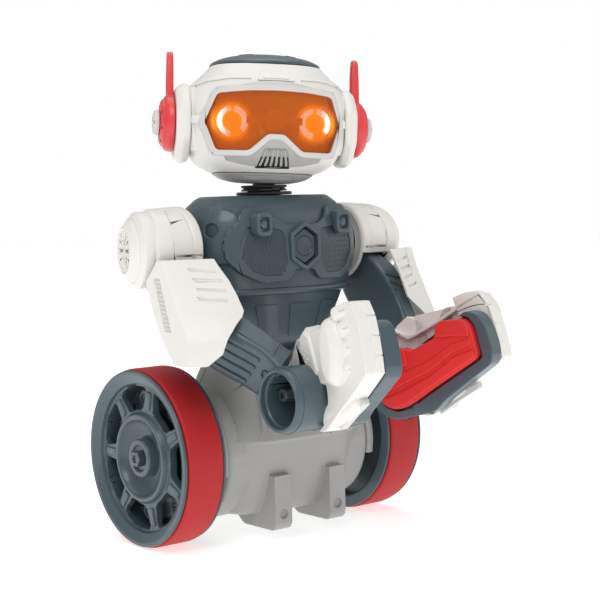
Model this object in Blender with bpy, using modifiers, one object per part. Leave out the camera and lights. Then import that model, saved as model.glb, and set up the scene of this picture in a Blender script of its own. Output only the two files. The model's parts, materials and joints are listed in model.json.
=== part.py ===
"""Toy robot: two big wheels, a barrel base, a torso with a yaw head, and two jointed arms with gripping hands.
Millimetres in the functions, metres in Blender.  +X is the robot's left, -Y its front, +Z up, the floor at z = 0."""
import math
import bpy
import bmesh
from mathutils import Matrix, Vector

S = 0.001                      # millimetres to metres

# ---- driving dimensions (mm) -------------------------------------------------
WHEEL_R = 45.0                 # tyre radius, and the height of the wheel axis
WHEEL_IN = 52.7                # wheel inner face, from the middle plane
WHEEL_OUT = 77.4               # wheel outer face
BARREL_R = 34.0                # base barrel radius
BARREL_Y, BARREL_Z = -2.0, 44.0
TORSO_Y = -11.0                # torso and neck axis
SHOULDER_Y, SHOULDER_Z = -9.0, 149.0
SHOULDER_R = 20.5
SHOULDER_X = 62.0              # arm swing axis
WRIST_Y, WRIST_Z = -88.0, 79.5 # barrel and wrist axis
WRIST_R = 15.5
HAND_TOE = math.radians(12.0)  # hands open by this much
HEAD_YAW = math.radians(-28.0)
HEAD_Z = 210.0                 # ear and eye height
HEAD_ROLL = math.radians(3.1)  # the head hangs a little to its left
DRUM_TURN = math.radians(16.0) # the outer end of each shoulder drum bends back
FRAME_Y = 36.22                # puts the middle of the bounding box over the origin
GAP = 0.3                      # clearance between touching pieces
CELL_R, CELL_L = 13.0, 50.0    # C cell
GEAR_TEETH, PINION_TEETH, MODULE = 24, 8, 1.0

# ---- scene -------------------------------------------------------------------
for ob in list(bpy.data.objects):
    bpy.data.objects.remove(ob, do_unlink=True)
for me in list(bpy.data.meshes):
    bpy.data.meshes.remove(me)
PARTS = bpy.data.collections.new("toy_robot")
CUTS = bpy.data.collections.new("cutters")
bpy.context.scene.collection.children.link(PARTS)
bpy.context.scene.collection.children.link(CUTS)

MATS = {}
for mname, rgb, rough, metal, alpha in (
        ("white_plastic", (0.86, 0.85, 0.82), 0.42, 0.0, 1.0),
        ("grey_plastic", (0.45, 0.45, 0.44), 0.45, 0.0, 1.0),
        ("dark_plastic", (0.075, 0.115, 0.135), 0.38, 0.0, 1.0),
        ("black_plastic", (0.015, 0.015, 0.017), 0.35, 0.0, 1.0),
        ("red_rubber", (0.50, 0.022, 0.025), 0.55, 0.0, 1.0),
        ("red_plastic", (0.62, 0.035, 0.035), 0.35, 0.0, 1.0),
        ("visor_plastic", (0.75, 0.16, 0.01), 0.12, 0.0, 0.6),
        ("eye_light", (1.0, 0.72, 0.45), 0.30, 0.0, 1.0),
        ("circuit_board", (0.03, 0.16, 0.07), 0.45, 0.0, 1.0),
        ("steel", (0.62, 0.62, 0.63), 0.28, 1.0, 1.0),
        ("motor_can", (0.58, 0.58, 0.60), 0.30, 1.0, 1.0),
        ("cell_jacket", (0.20, 0.20, 0.22), 0.35, 0.6, 1.0),
        ("gear_nylon", (0.80, 0.79, 0.74), 0.40, 0.0, 1.0)):
    m = bpy.data.materials.new(mname)
    m.use_nodes = True
    b = m.node_tree.nodes["Principled BSDF"]
    b.inputs["Base Color"].default_value = (*rgb, 1.0)
    b.inputs["Roughness"].default_value = rough
    b.inputs["Metallic"].default_value = metal
    b.inputs["Alpha"].default_value = alpha
    MATS[mname] = m


# ---- shape helpers -----------------------------------------------------------
def bm_box(lo, hi):
    bm = bmesh.new()
    bmesh.ops.create_cube(bm, size=1.0)
    for v in bm.verts:
        for i in range(3):
            v.co[i] = lo[i] if v.co[i] < 0 else hi[i]
    return bm


def bm_cyl(p0, p1, r0, seg=24, r1=None):
    """Cylinder or cone from p0 to p1."""
    p0, p1 = Vector(p0), Vector(p1)
    d = p1 - p0
    bm = bmesh.new()
    bmesh.ops.create_cone(bm, cap_ends=True, segments=seg, radius1=r0,
                          radius2=r0 if r1 is None else r1, depth=d.length)
    rot = Vector((0, 0, 1)).rotation_difference(d.normalized()).to_matrix().to_4x4()
    bmesh.ops.transform(bm, matrix=Matrix.Translation((p0 + p1) / 2) @ rot, verts=bm.verts)
    return bm


def bm_turn(profile, centre, axis="X", seg=32, closed=True):
    """Turned solid: profile of (radius, distance along the axis), spun about the axis through centre."""
    bm = bmesh.new()
    vs = []
    for r, a in profile:
        co = {"X": (a, 0, r), "Y": (r, a, 0), "Z": (r, 0, a)}[axis]
        vs.append(bm.verts.new(co))
    n = len(vs)
    es = [bm.edges.new((vs[i], vs[(i + 1) % n])) for i in range(n if closed else n - 1)]
    ax = {"X": (1, 0, 0), "Y": (0, 1, 0), "Z": (0, 0, 1)}[axis]
    bmesh.ops.spin(bm, geom=vs + es, cent=(0, 0, 0), axis=ax, angle=2 * math.pi, steps=seg, use_duplicate=False)
    bmesh.ops.remove_doubles(bm, verts=bm.verts, dist=1e-4)
    bmesh.ops.dissolve_degenerate(bm, dist=1e-5, edges=bm.edges)
    bmesh.ops.translate(bm, vec=centre, verts=bm.verts)
    bmesh.ops.recalc_face_normals(bm, faces=bm.faces)
    return bm


def bm_loft(rings):
    """Closed solid through rings that have the same number of points, capped at both ends."""
    bm = bmesh.new()
    rows = [[bm.verts.new(p) for p in ring] for ring in rings]
    n = len(rows[0])
    for a, b in zip(rows, rows[1:]):
        for i in range(n):
            bm.faces.new((a[i], a[(i + 1) % n], b[(i + 1) % n], b[i]))
    bm.faces.new(list(reversed(rows[0])))
    bm.faces.new(rows[-1])
    bmesh.ops.recalc_face_normals(bm, faces=bm.faces)
    return bm


def bm_prism(outline, d0, d1, place):
    """Outline of (u, v) extruded from depth d0 to d1; place(u, v, d) gives the point."""
    return bm_loft([[place(u, v, d0) for u, v in outline], [place(u, v, d1) for u, v in outline]])


def super_ring(a, b, cy, z, n=2.6, seg=24, cx=0.0, bf=None):
    """Superellipse in a horizontal plane; bf is the half depth of the front half."""
    out = []
    for i in range(seg):
        t = 2 * math.pi * (i + 0.5) / seg
        c, s = math.cos(t), math.sin(t)
        bb = bf if (bf is not None and s < 0) else b
        out.append((cx + a * math.copysign(abs(c) ** (2 / n), c), cy + bb * math.copysign(abs(s) ** (2 / n), s), z))
    return out


def inset(outline, d):
    """Outline moved inwards by d."""
    n = len(outline)
    area = sum(outline[i][0] * outline[(i + 1) % n][1] - outline[(i + 1) % n][0] * outline[i][1] for i in range(n))
    sgn = 1 if area > 0 else -1
    out = []
    for i in range(n):
        p0, p1, p2 = Vector(outline[i - 1]), Vector(outline[i]), Vector(outline[(i + 1) % n])
        e0, e1 = (p1 - p0).normalized(), (p2 - p1).normalized()
        n0, n1 = Vector((-e0.y, e0.x)) * sgn, Vector((-e1.y, e1.x)) * sgn
        m = (n0 + n1)
        k = d / max(0.35, (1 + n0.dot(n1)))
        out.append((p1.x + m.x * k, p1.y + m.y * k))
    return out


def as_object(name, bm, collection, material=None, origin=(0, 0, 0)):
    o = Vector(origin)
    bmesh.ops.translate(bm, vec=-o, verts=bm.verts)
    bmesh.ops.scale(bm, vec=(S, S, S), verts=bm.verts)
    me = bpy.data.meshes.new(name)
    bm.to_mesh(me)
    bm.free()
    me.shade_smooth()
    me.set_sharp_from_angle(angle=math.radians(35))
    ob = bpy.data.objects.new(name, me)
    ob.location = o * S
    collection.objects.link(ob)
    if material:
        me.materials.append(MATS[material])
    return ob


def boolean(ob, bms, op):
    for i, bm in enumerate(bms if isinstance(bms, (list, tuple)) else [bms]):
        c = as_object(f"{ob.name}_{op.lower()}_{len(ob.modifiers)}", bm, CUTS)
        c.hide_render = True
        c.display_type = "WIRE"
        m = ob.modifiers.new("bool", "BOOLEAN")
        m.operation = op
        m.solver = "EXACT"
        m.object = c
    return ob


def part(name, bm, material, add=(), cut=(), keep=(), origin=(0, 0, 0), bevel=0.0):
    """One piece: a base solid, solids joined to it, solids it is limited to, and solids cut from it."""
    ob = as_object(name, bm, PARTS, material, origin)
    boolean(ob, list(add), "UNION")
    boolean(ob, list(keep), "INTERSECT")
    boolean(ob, list(cut), "DIFFERENCE")
    if bevel:
        m = ob.modifiers.new("bevel", "BEVEL")
        m.width = bevel * S
        m.segments = 1
        m.limit_method = "ANGLE"
        m.angle_limit = math.radians(50)
    return ob


def side(k, p):
    """k = +1 for the robot's left, -1 for its right."""
    return (k * p[0], p[1], p[2])


SIDES = (("left", 1), ("right", -1))

# ---- wheels ------------------------------------------------------------------
def gear_outline(teeth, module, phase, backlash=0.12):
    rp, ra, rf = teeth * module / 2, teeth * module / 2 + module * 0.85, teeth * module / 2 - module * 1.15
    out = []
    for i in range(teeth):
        a = phase + 2 * math.pi * i / teeth
        half = math.pi / (2 * teeth) - backlash / (2 * rp)
        out += [(rf, a - half * 1.5), (ra, a - half * 0.42), (ra, a + half * 0.42), (rf, a + half * 1.5)]
    return [(r * math.cos(t), r * math.sin(t)) for r, t in out]


GEAR_C = (GEAR_TEETH + PINION_TEETH) * MODULE / 2      # centre distance
MOTOR_Y, MOTOR_Z = -GEAR_C, WHEEL_R                     # motors sit in front of the axle

for sname, k in SIDES:
    X = lambda a: k * a
    # rim with two lips, a pierced web, and a hub
    rim = [(44.0, X(52.9)), (44.0, X(54.5)), (40.2, X(54.9)), (40.2, X(75.2)), (44.0, X(75.6)), (43.2, X(77.2)),
           (37.5, X(75.0)), (36.5, X(72.5)), (23.0, X(72.5)), (20.5, X(74.5)), (9.5, X(71.0)), (8.5, X(76.0)),
           (3.2, X(76.0)), (3.2, X(58.0)), (7.0, X(58.0)), (8.0, X(69.0)), (36.0, X(69.5)), (37.6, X(66.0)), (37.6, X(52.9))]
    windows = []
    for i in range(7):
        a = 2 * math.pi * (i + 0.5) / 7
        ow = []
        for r, h in ((24.5, 0.27), (34.8, 0.36), (36.6, 0.28), (36.6, -0.28), (34.8, -0.36), (24.5, -0.27)):
            ow.append((r * math.cos(a + h), r * math.sin(a + h)))
        windows.append(bm_prism(ow, 66, 80, lambda u, v, d: (X(d), u, v + WHEEL_R)))
    part(f"wheel_rim_{sname}", bm_turn(rim, (0, 0, WHEEL_R), "X", 24), "dark_plastic", cut=windows,
         origin=(X(65), 0, WHEEL_R))
    tyre = [(40.6, X(55.2)), (44.2, X(54.9)), (45.0, X(57.0)), (45.0, X(73.2)), (44.2, X(75.2)), (40.6, X(74.9))]
    part(f"tire_{sname}", bm_turn(tyre, (0, 0, WHEEL_R), "X", 36), "red_rubber", origin=(X(65), 0, WHEEL_R))
    axle = [(0, X(28.0)), (2.85, X(28.0)), (2.85, X(76.4)), (4.6, X(76.4)), (4.6, X(78.6)), (0, X(78.6))]
    part(f"axle_{sname}", bm_turn(axle, (0, 0, WHEEL_R), "X", 12, closed=False), "steel", origin=(X(50), 0, WHEEL_R))
    gear = bm_prism(gear_outline(GEAR_TEETH, MODULE, 0.0), 35.5, 39.5, lambda u, v, d: (X(d), -u, v + WHEEL_R))
    part(f"drive_gear_{sname}", gear, "gear_nylon",
         cut=[bm_cyl((X(30), 0, WHEEL_R), (X(45), 0, WHEEL_R), 2.85 + 0.15, 12)], origin=(X(37), 0, WHEEL_R))
    pin = bm_prism(gear_outline(PINION_TEETH, MODULE, math.pi / PINION_TEETH), 35.0, 40.0,
                   lambda u, v, d: (X(d), u + MOTOR_Y, v + MOTOR_Z))
    part(f"pinion_{sname}", pin, "gear_nylon", cut=[bm_cyl((X(33), MOTOR_Y, MOTOR_Z), (X(42), MOTOR_Y, MOTOR_Z), 1.3, 10)],
         origin=(X(37), MOTOR_Y, MOTOR_Z))
    motor = [(0, X(4.0)), (10.0, X(4.0)), (10.0, X(29.0)), (4.0, X(29.0)), (4.0, X(30.5)), (1.1, X(30.5)), (1.1, X(39.5)), (0, X(39.5))]
    part(f"drive_motor_{sname}", bm_turn(motor, (0, MOTOR_Y, MOTOR_Z), "X", 20, closed=False), "motor_can")

# ---- base --------------------------------------------------------------------
def base_body(d=0.0, seg=24, n=3.2):
    """Front body of the base, shrunk by d."""
    rows = [(12.5, 33, 22, 23), (20, 38, 22, 30), (36, 42, 24, 35.5), (51, 44.5, 25, 38), (52.5, 45.5, 26, 40.5),
            (56, 45, 26, 39.5), (66, 42, 26, 35.5), (78, 36, 25, 30.0), (88, 30.5, 23, 25.0), (93.5, 28, 22, 22.5)]
    rings = []
    for j, (z, a, br, bf) in enumerate(rows):
        zz = z + d if j == 0 else z
        rings.append(super_ring(a - d, br - d, -5.0, zz, n, seg, bf=bf - d))
    return bm_loft(rings)


COMP = [(12.0, 10.8), (66.0, 10.8), (71.0, 15.0), (71.0, 62.0), (66.0, 68.6), (12.0, 68.6)]   # rear compartment (y, z)
def comp(d, hx):
    return bm_prism(inset(COMP, d), -hx, hx, lambda u, v, w: (w, u, v))


barrel = lambda d: bm_cyl((-(46 - d), BARREL_Y, BARREL_Z), (46 - d, BARREL_Y, BARREL_Z), BARREL_R - d, 28)
SKID = [(-43.0, 34.0), (-43.0, 6.0), (-15.0, 6.0), (-6.6, 13.0), (-6.6, 34.0)]
skids = [bm_prism(SKID, min(k * 12.5, k * 23.0), max(k * 12.5, k * 23.0), lambda u, v, w: (w, u, v)) for k in (1, -1)]
SPLIT_Y = 2.0
HALL = 200
inner_cuts = lambda: [barrel(2.4), base_body(2.4), comp(2.2, 30.0)]
axle_hole = lambda: bm_cyl((-60, 0, WHEEL_R), (60, 0, WHEEL_R), 3.6, 14)
waist_hole = lambda: bm_cyl((0, TORSO_Y, 80), (0, TORSO_Y, 100), 14, 20)
front = part("base_front_shell", base_body(), "grey_plastic", add=[barrel(0)] + skids,
             cut=inner_cuts() + [bm_box((-HALL, SPLIT_Y - GAP / 2, -10), (HALL, HALL, 200)), axle_hole(), waist_hole()])
rear = part("base_rear_shell", base_body(), "grey_plastic", add=[barrel(0), comp(0, 32.0)],
            cut=inner_cuts() + [bm_box((-HALL, -HALL, -10), (HALL, SPLIT_Y + GAP / 2, 200)), axle_hole(), waist_hole(),
                                bm_box((-27, 64, 17.5), (27, 80, 60.5)),
                                bm_box((12.6, 10, 72), (22.4, 60, 80))])
part("battery_door", bm_box((-26.7, 68.9, 17.8), (26.7, 71.0, 60.2)), "grey_plastic",
     add=[bm_box((-6, 70.5, 54), (6, 71.8, 57))])
for i, (y, z) in enumerate(((28.8, 26.6), (55.2, 26.6), (28.8, 53.0), (55.2, 53.0))):
    part(f"battery_{i + 1}", bm_turn([(0, -CELL_L / 2), (CELL_R, -CELL_L / 2), (CELL_R, CELL_L / 2 - 1.7), (3.2, CELL_L / 2 - 1.7), (3.2, CELL_L / 2), (0, CELL_L / 2)],
         (0, y, z), "X", 16, closed=False), "cell_jacket")
part("rear_skid", bm_turn([(0, 0), (5.0, 0), (7.0, 2.0), (7.0, 10.5), (0, 10.5)], (0, 54.0, 0), "Z", 20, closed=False), "black_plastic")
part("power_switch", bm_box((13.0, 16.8, 72.8), (17.4, 23.6, 79.2)), "black_plastic", origin=(15.2, 20, 76))

# ---- waist, torso ------------------------------------------------------------
def torso_rings(rows, d=0.0, seg=24, n=2.7):
    return bm_loft([super_ring(a - d, b - d, TORSO_Y, z, n, seg, bf=bf - d) for z, a, b, bf in rows])


WAIST = [(94.0, 24, 20, 20), (104, 30.5, 24, 24), (116, 37.0, 27, 27.0), (124.7, 41.0, 29, 29.5)]
WAIST_IN = [(z, a - 2.2, b - 2.2, bf - 2.2) for z, a, b, bf in WAIST]
WAIST_IN = [(93.0, *WAIST_IN[0][1:])] + WAIST_IN[1:-1] + [(126.0, *WAIST_IN[-1][1:])]
part("waist_shell", torso_rings(WAIST), "dark_plastic", cut=[torso_rings(WAIST_IN)])
TORSO = [(125.0, 43.5, 30, 29.5), (129, 45.5, 31.5, 30.2), (150, 47.0, 32, 29.4), (162, 46.0, 31, 27.6), (169, 42.5, 28, 24.6), (174.5, 36, 22, 19)]
TORSO_CAV = [(123.0, 40.5, 27, 26.5), (129, 43.0, 29, 27.7), (150, 44.5, 29.5, 26.9), (162, 43.5, 28.5, 25.1), (168, 40, 25.5, 22.1), (172.0, 34, 19.5, 16.5)]
neck_hole = lambda r: bm_cyl((0, TORSO_Y, 165), (0, TORSO_Y, 190), r, 24)
axle_sock = lambda r: bm_cyl((-60, SHOULDER_Y, SHOULDER_Z), (60, SHOULDER_Y, SHOULDER_Z), r, 20)
part("torso_front_shell", torso_rings(TORSO), "dark_plastic",
     cut=[torso_rings(TORSO_CAV), bm_box((-HALL, -2 - GAP / 2, 90), (HALL, HALL, 200)), neck_hole(9.0), axle_sock(9.4),
          bm_prism([(u * 7.6, v * 9.6 + 148.5) for u, v in ((0, 1), (0.87, 0.55), (0.87, -0.55), (0, -1), (-0.87, -0.55), (-0.87, 0.55))],
                   -60, -30, lambda u, v, w: (u, w, v))])
part("torso_rear_shell", torso_rings(TORSO), "dark_plastic",
     cut=[torso_rings(TORSO_CAV), bm_box((-HALL, -HALL, 90), (HALL, -2 + GAP / 2, 200)), neck_hole(9.0), axle_sock(9.4)])

# chest plate over the front of the torso
CHEST = [(0, 137.5), (6, 137.0), (9.5, 131.5), (25.5, 131.0), (36, 136), (42, 143.0), (43.0, 150), (41, 157), (36, 161),
         (32, 168.5), (19.0, 168.5), (16.0, 162.5), (10.0, 159.5), (0, 159.5)]
chest_outline = CHEST + [(-x, z) for x, z in reversed(CHEST[1:-1])]
TOR_BIG = [(z, a + 2.6, b + 2.6, bf + 2.6) for z, a, b, bf in TORSO]
TOR_GAP = [(z, a + 0.35, b + 0.35, bf + 0.35) for z, a, b, bf in TORSO]
part("chest_plate", torso_rings(TOR_BIG), "dark_plastic",
     keep=[bm_prism(chest_outline, -70, -12, lambda u, v, w: (u, w, v))],
     cut=[torso_rings([(100.0, *TOR_GAP[0][1:])] + TOR_GAP),
          bm_prism([(u * 7.9, v * 9.8 + 148.5) for u, v in ((0, 1), (0.87, 0.55), (0.87, -0.55), (0, -1), (-0.87, -0.55), (-0.87, 0.55))],
                   -70, -30, lambda u, v, w: (u, w, v))])
part("start_button", bm_prism([(u * 7.2, v * 9.2 + 148.5) for u, v in ((0, 1), (0.87, 0.55), (0.87, -0.55), (0, -1), (-0.87, -0.55), (-0.87, 0.55))],
     -43.4, -35.9, lambda u, v, w: (u, w, v)), "dark_plastic", origin=(0, -40, 148.5))
for sname, k in SIDES:
    part(f"chest_clasp_{sname}", bm_box((min(k * 20.8, k * 30.2), -44.8, 154.0), (max(k * 20.8, k * 30.2), -33.0, 166.0)), "dark_plastic",
         add=[bm_prism([(-43.2, 162.0), (-43.0, 166.8), (-37.4, 173.2), (-31.0, 176.6), (-27.0, 176.6), (-27.0, 174.9), (-31.4, 174.9), (-35.6, 171.6), (-40.6, 165.4)],
                       min(k * 22.0, k * 29.0), max(k * 22.0, k * 29.0), lambda u, v, w: (w, u, v))],
         cut=[torso_rings([(z, a + 2.95, b, bf + 2.95) for z, a, b, bf in [(100.0, *TORSO[0][1:])] + TORSO[:5]]),
              bm_box((min(k * 22.7, k * 28.3), -60, 156.4), (max(k * 22.7, k * 28.3), -43.2, 163.6))])
part("speaker", bm_turn([(0, 4.5), (8, 4.5), (8, 9.5), (17, 14.0), (17, 16.5), (15.5, 16.5), (15.5, 15.5), (0, 12.5)], (0, -4.0, 148.5), "Y", 20, closed=False), "black_plastic")
part("main_board", bm_box((-30, -3.2, 128), (30, -1.8, 164)), "circuit_board")
part("head_motor", bm_cyl((0, TORSO_Y - 9, 152), (0, TORSO_Y - 9, 164.5), 5.2, 16), "motor_can",
     add=[bm_cyl((0, TORSO_Y - 9, 164), (0, TORSO_Y - 9, 167), 1.1, 10)])
part("neck_collar", bm_turn([(9.4, 174.9), (14.5, 174.9), (14.5, 176.5), (9.4, 176.5)], (0, TORSO_Y, 0), "Z", 24), "black_plastic")

# ---- head (built facing -Y about its yaw axis, then turned) --------------------
HEAD_PLACE = (Matrix.Translation((0, TORSO_Y, HEAD_Z)) @ Matrix.Rotation(HEAD_YAW, 4, "Z")
              @ Matrix.Rotation(HEAD_ROLL, 4, "Y") @ Matrix.Translation((0, 0, -HEAD_Z)))


def headp(x, y, z):
    return tuple(HEAD_PLACE @ Vector((x, y, z)))


def turned(bm):
    bmesh.ops.transform(bm, matrix=HEAD_PLACE, verts=bm.verts)
    return bm


HEAD = [(185.5, 26.5), (188.0, 31.5), (192.0, 36.5), (198.0, 39.3), (206, 40.0), (220, 40.0), (228, 39.0), (233.5, 34.6), (237.2, 30.6), (239.3, 28.6)]
def head_shell(d=0.0, seg=24):
    return bm_loft([super_ring(a - d, a - d, -3.0, z, 2.6, seg) for z, a in HEAD])


HEAD_IN = [(184.0, 23.0), (188.5, 28.9), (192.5, 34.0), (198.0, 37.0), (206, 37.8), (220, 37.8), (227.5, 36.8), (232.5, 32.4), (236.2, 28.2), (241, 25.0)]
head_cav = lambda: turned(bm_loft([super_ring(a, a, -3.0, z, 2.6, 24) for z, a in HEAD_IN]))
VISOR = [(0, 203.6), (3.6, 203.6), (13.6, 195.0), (28.5, 195.5), (33.9, 209.5), (28.2, 223.5), (0, 224.5)]
visor_outline = VISOR + [(-x, z) for x, z in reversed(VISOR[1:-1])]
VY = -3.0
front_keep = lambda y: turned(bm_box((-HALL, -HALL, 150), (HALL, y, 300)))
rear_keep = lambda y: turned(bm_box((-HALL, y, 150), (HALL, HALL, 300)))
ear_hole = lambda: turned(bm_cyl((-70, VY, HEAD_Z), (70, VY, HEAD_Z), 9.0, 20))
part("head_front_shell", turned(head_shell()), "white_plastic",
     cut=[head_cav(), rear_keep(VY - GAP / 2), ear_hole(), turned(bm_prism(visor_outline, -70, -15, lambda u, v, w: (u, w, v)))],
     origin=(0, TORSO_Y, HEAD_Z))
part("head_rear_shell", turned(head_shell()), "white_plastic", cut=[head_cav(), front_keep(VY + GAP / 2), ear_hole()], origin=(0, TORSO_Y, HEAD_Z))
lens_out = turned(bm_loft([super_ring(39.9, 39.9, -3.0, z, 2.6, 32) for z in (190, 230)]))
lens_in = turned(bm_loft([super_ring(38.9, 38.9, -3.0, z, 2.6, 32) for z in (185, 235)]))
part("visor_lens", lens_out, "visor_plastic",
     keep=[turned(bm_prism(inset(visor_outline, 0.35), -70, -15, lambda u, v, w: (u, w, v)))], cut=[lens_in], origin=(0, TORSO_Y, HEAD_Z))
frame_out = turned(bm_loft([super_ring(41.6, 41.6, -3.0, z, 2.6, 32) for z in (188, 232)]))
frame_in = turned(bm_loft([super_ring(40.3, 40.3, -3.0, z, 2.6, 32) for z in (185, 235)]))
part("visor_frame", frame_out, "white_plastic",
     keep=[turned(bm_prism(inset(visor_outline, -2.2), -70, -20, lambda u, v, w: (u, w, v)))],
     cut=[frame_in, turned(bm_prism(inset(visor_outline, 0.3), -90, -10, lambda u, v, w: (u, w, v)))], origin=(0, TORSO_Y, HEAD_Z))
part("head_cap", turned(bm_loft([super_ring(a, a, -3.0, z, 2.3, 28) for z, a in ((239.65, 28.2), (241.0, 27.2), (243.9, 20.5), (245.9, 11), (246.7, 3))])),
     "dark_plastic", cut=[turned(bm_loft([super_ring(a, a, -3.0, z, 2.3, 20) for z, a in ((239, 25.8), (240.3, 24.8), (242.8, 17.5), (244.1, 9))]))], origin=(0, TORSO_Y, HEAD_Z))
part("chin_bowl", turned(bm_loft([super_ring(a, a, -3.0, z, 2.4, 28) for z, a in ((180.8, 13), (181.6, 18.5), (183.6, 23.5), (185.2, 25.8))])),
     "grey_plastic", cut=[bm_cyl((0, TORSO_Y, 175), (0, TORSO_Y, 190), 7.2, 20)], origin=(0, TORSO_Y, HEAD_Z))
part("neck_post", bm_turn([(0, 168), (8.6, 168), (8.6, 177.0), (11.8, 177.0), (11.8, 179.9), (5.9, 179.9), (5.9, 192), (0, 192)], (0, TORSO_Y, 0), "Z", 24, closed=False),
     "black_plastic", origin=(0, TORSO_Y, 178))
part("eye_board", turned(bm_box((-28, -30.6, 200.5), (28, -29.2, 219.5))), "circuit_board",
     add=[turned(bm_box((-12.4, -33, 208.5), (12.4, -30, 211.5))), turned(bm_cyl((0, -34.5, 210), (0, -30, 210), 5.2, 16))], origin=(0, TORSO_Y, HEAD_Z))
for sname, k in SIDES:
    part(f"eye_{sname}", turned(bm_turn([(4.8, -33.4), (7.7, -33.4), (7.7, -30.9), (4.8, -30.9)], (k * 20.7, 0, HEAD_Z - 0.3), "Y", 20)), "eye_light",
         cut=[turned(bm_box((k * 20.7 - 1.0, -38, HEAD_Z + 3.5), (k * 20.7 + 1.0, -32.0, HEAD_Z + 9))), turned(bm_box((k * 20.7 - 1.0, -38, HEAD_Z - 9), (k * 20.7 + 1.0, -32.0, HEAD_Z - 3.5)))],
         origin=(0, TORSO_Y, HEAD_Z))
    # ear: chamfered ring on the head, red disc with the antenna, grey cap
    ear = lambda prof, seg, closed=True: turned(bm_turn([(r, k * a) for r, a in prof], (0, VY, HEAD_Z), "X", seg, closed))
    part(f"ear_ring_{sname}", ear([(9.0, 40.4), (19.5, 40.4), (20.3, 43.5), (17.5, 46.4), (9.0, 46.4)], 8), "white_plastic", origin=headp(k * 43, VY, HEAD_Z))
    def up(dx):
        return lambda u, v, w: (k * (w + dx), u + VY, v + HEAD_Z)
    LOOP = [(-4.8, 8.0), (-0.8, 27.0), (1.6, 34.4), (4.6, 36.9), (7.4, 35.2), (8.4, 28.0), (6.6, 8.0)]
    loop = bm_prism(LOOP, 46.9, 49.7, up(0))
    part(f"antenna_{sname}", ear([(3.4, 46.8), (14.3, 46.8), (14.6, 48.8), (13.2, 51.6), (9.6, 53.6), (3.4, 53.6)], 28), "red_plastic",
         add=[turned(loop)], cut=[turned(bm_prism([(-0.8, 16.0), (1.6, 27.0), (3.6, 33.2), (5.0, 33.8), (6.0, 27.0), (4.6, 16.0)], 44, 60, up(0)))],
         origin=headp(k * 49, VY, HEAD_Z))
    part(f"ear_cap_{sname}", ear([(0, 30.0), (3.0, 30.0), (3.0, 54.0), (6.4, 54.0), (6.4, 56.0), (4.8, 57.4), (0, 57.4)], 20, False), "grey_plastic", origin=headp(k * 52, VY, HEAD_Z))

# ---- arms --------------------------------------------------------------------
ARM = [  # inner-front, outer-front, outer-rear, inner-rear
    ((57.5, -25.5, 142.0), (67.0, -25.5, 142.0), (67.0, 3.0, 142.0), (57.5, 3.0, 142.0)),
    ((55.0, -38.0, 134.5), (68.0, -38.5, 134.0), (67.6, -4.0, 124.0), (55.6, -4.0, 124.0)),
    ((53.0, -49.5, 125.5), (66.0, -48.5, 121.0), (66.0, -24.0, 103.0), (51.0, -22.0, 106.0)),
    ((49.0, -59.0, 117.5), (60.0, -61.0, 109.5), (59.0, -40.0, 91.5), (47.0, -36.0, 96.0)),
    ((43.0, -69.0, 109.0), (53.0, -75.5, 101.5), (52.5, -56.0, 83.5), (42.5, -52.0, 88.0)),
    ((37.6, -79.0, 101.0), (50.5, -85.0, 94.0), (50.5, -73.0, 77.0), (37.6, -70.0, 82.0)),
]
GUARD = [(56.7, 145.0), (53.0, 119.5), (65.4, 107.5), (67.0, 100.5), (73.0, 99.0), (75.0, 94.0), (81.0, 96.0)]


def arm_channel(k, wall=1.6):
    """The arm is a channel, open along its rear."""
    rings = []
    top = [tuple(Vector(p).lerp(Vector(q), 0.33)) for p, q in zip(ARM[0], ARM[1])]
    for q in (top, ARM[1], ARM[2], ARM[3], ARM[4]):
        A, B, C, D = (Vector(p) for p in q)
        u, v = (B - A).normalized(), (D - A).normalized()
        ring = [A + u * wall + v * 2.0, B - u * wall + v * 2.0, C - u * wall + v * 6, D + u * wall + v * 6]
        rings.append([side(k, p) for p in ring])
    return bm_loft(rings if k > 0 else [list(reversed(r)) for r in rings])


def hand_place(k):
    c, s = math.cos(HAND_TOE), math.sin(HAND_TOE)
    def f(u, v, w):            # u forward, v up, w outward from the palm
        return (k * (16.0 + u * s + w * c), WRIST_Y - u * c + w * s, WRIST_Z - 0.5 + v)
    return f


TRAY = [(-14.5, -3.5), (-9.5, -12.5), (0.8, -16.8), (11.2, -14.3), (25.4, -10.6), (30.2, -5.3), (57.6, 14.6), (57.0, 22.2), (53.0, 32.9), (48.5, 37.6),
        (42.0, 38.0), (38.5, 35.0), (18.1, 22.0), (11.5, 17.5), (0.0, 16.5), (-10.0, 12.0)]
PAD = [(-3.7, 18.6), (9.1, 19.4), (12.1, 17.8), (27.0, 25.3), (27.7, 31.0), (29.5, 33.2), (43.2, 34.8), (47.0, 31.0), (51.0, 17.0), (24.5, 0.2), (11.3, -8.6),
       (3.4, -11.3), (-3.9, -9.4), (-8.7, 0.0), (-3.4, 8.6)]
RIM = [(45.0, 46.4), (34.0, 40.4), (22.0, 33.0), (4.0, 24.0), (-8.0, 28.0), (-14.0, 18.0), (-14.0, 4.0), (-4.0, -14.0), (18.0, -15.0), (32.8, -3.0), (42.6, 3.9),
       (57.4, 15.6), (55.8, 22.9), (50.8, 39.5)]

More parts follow.
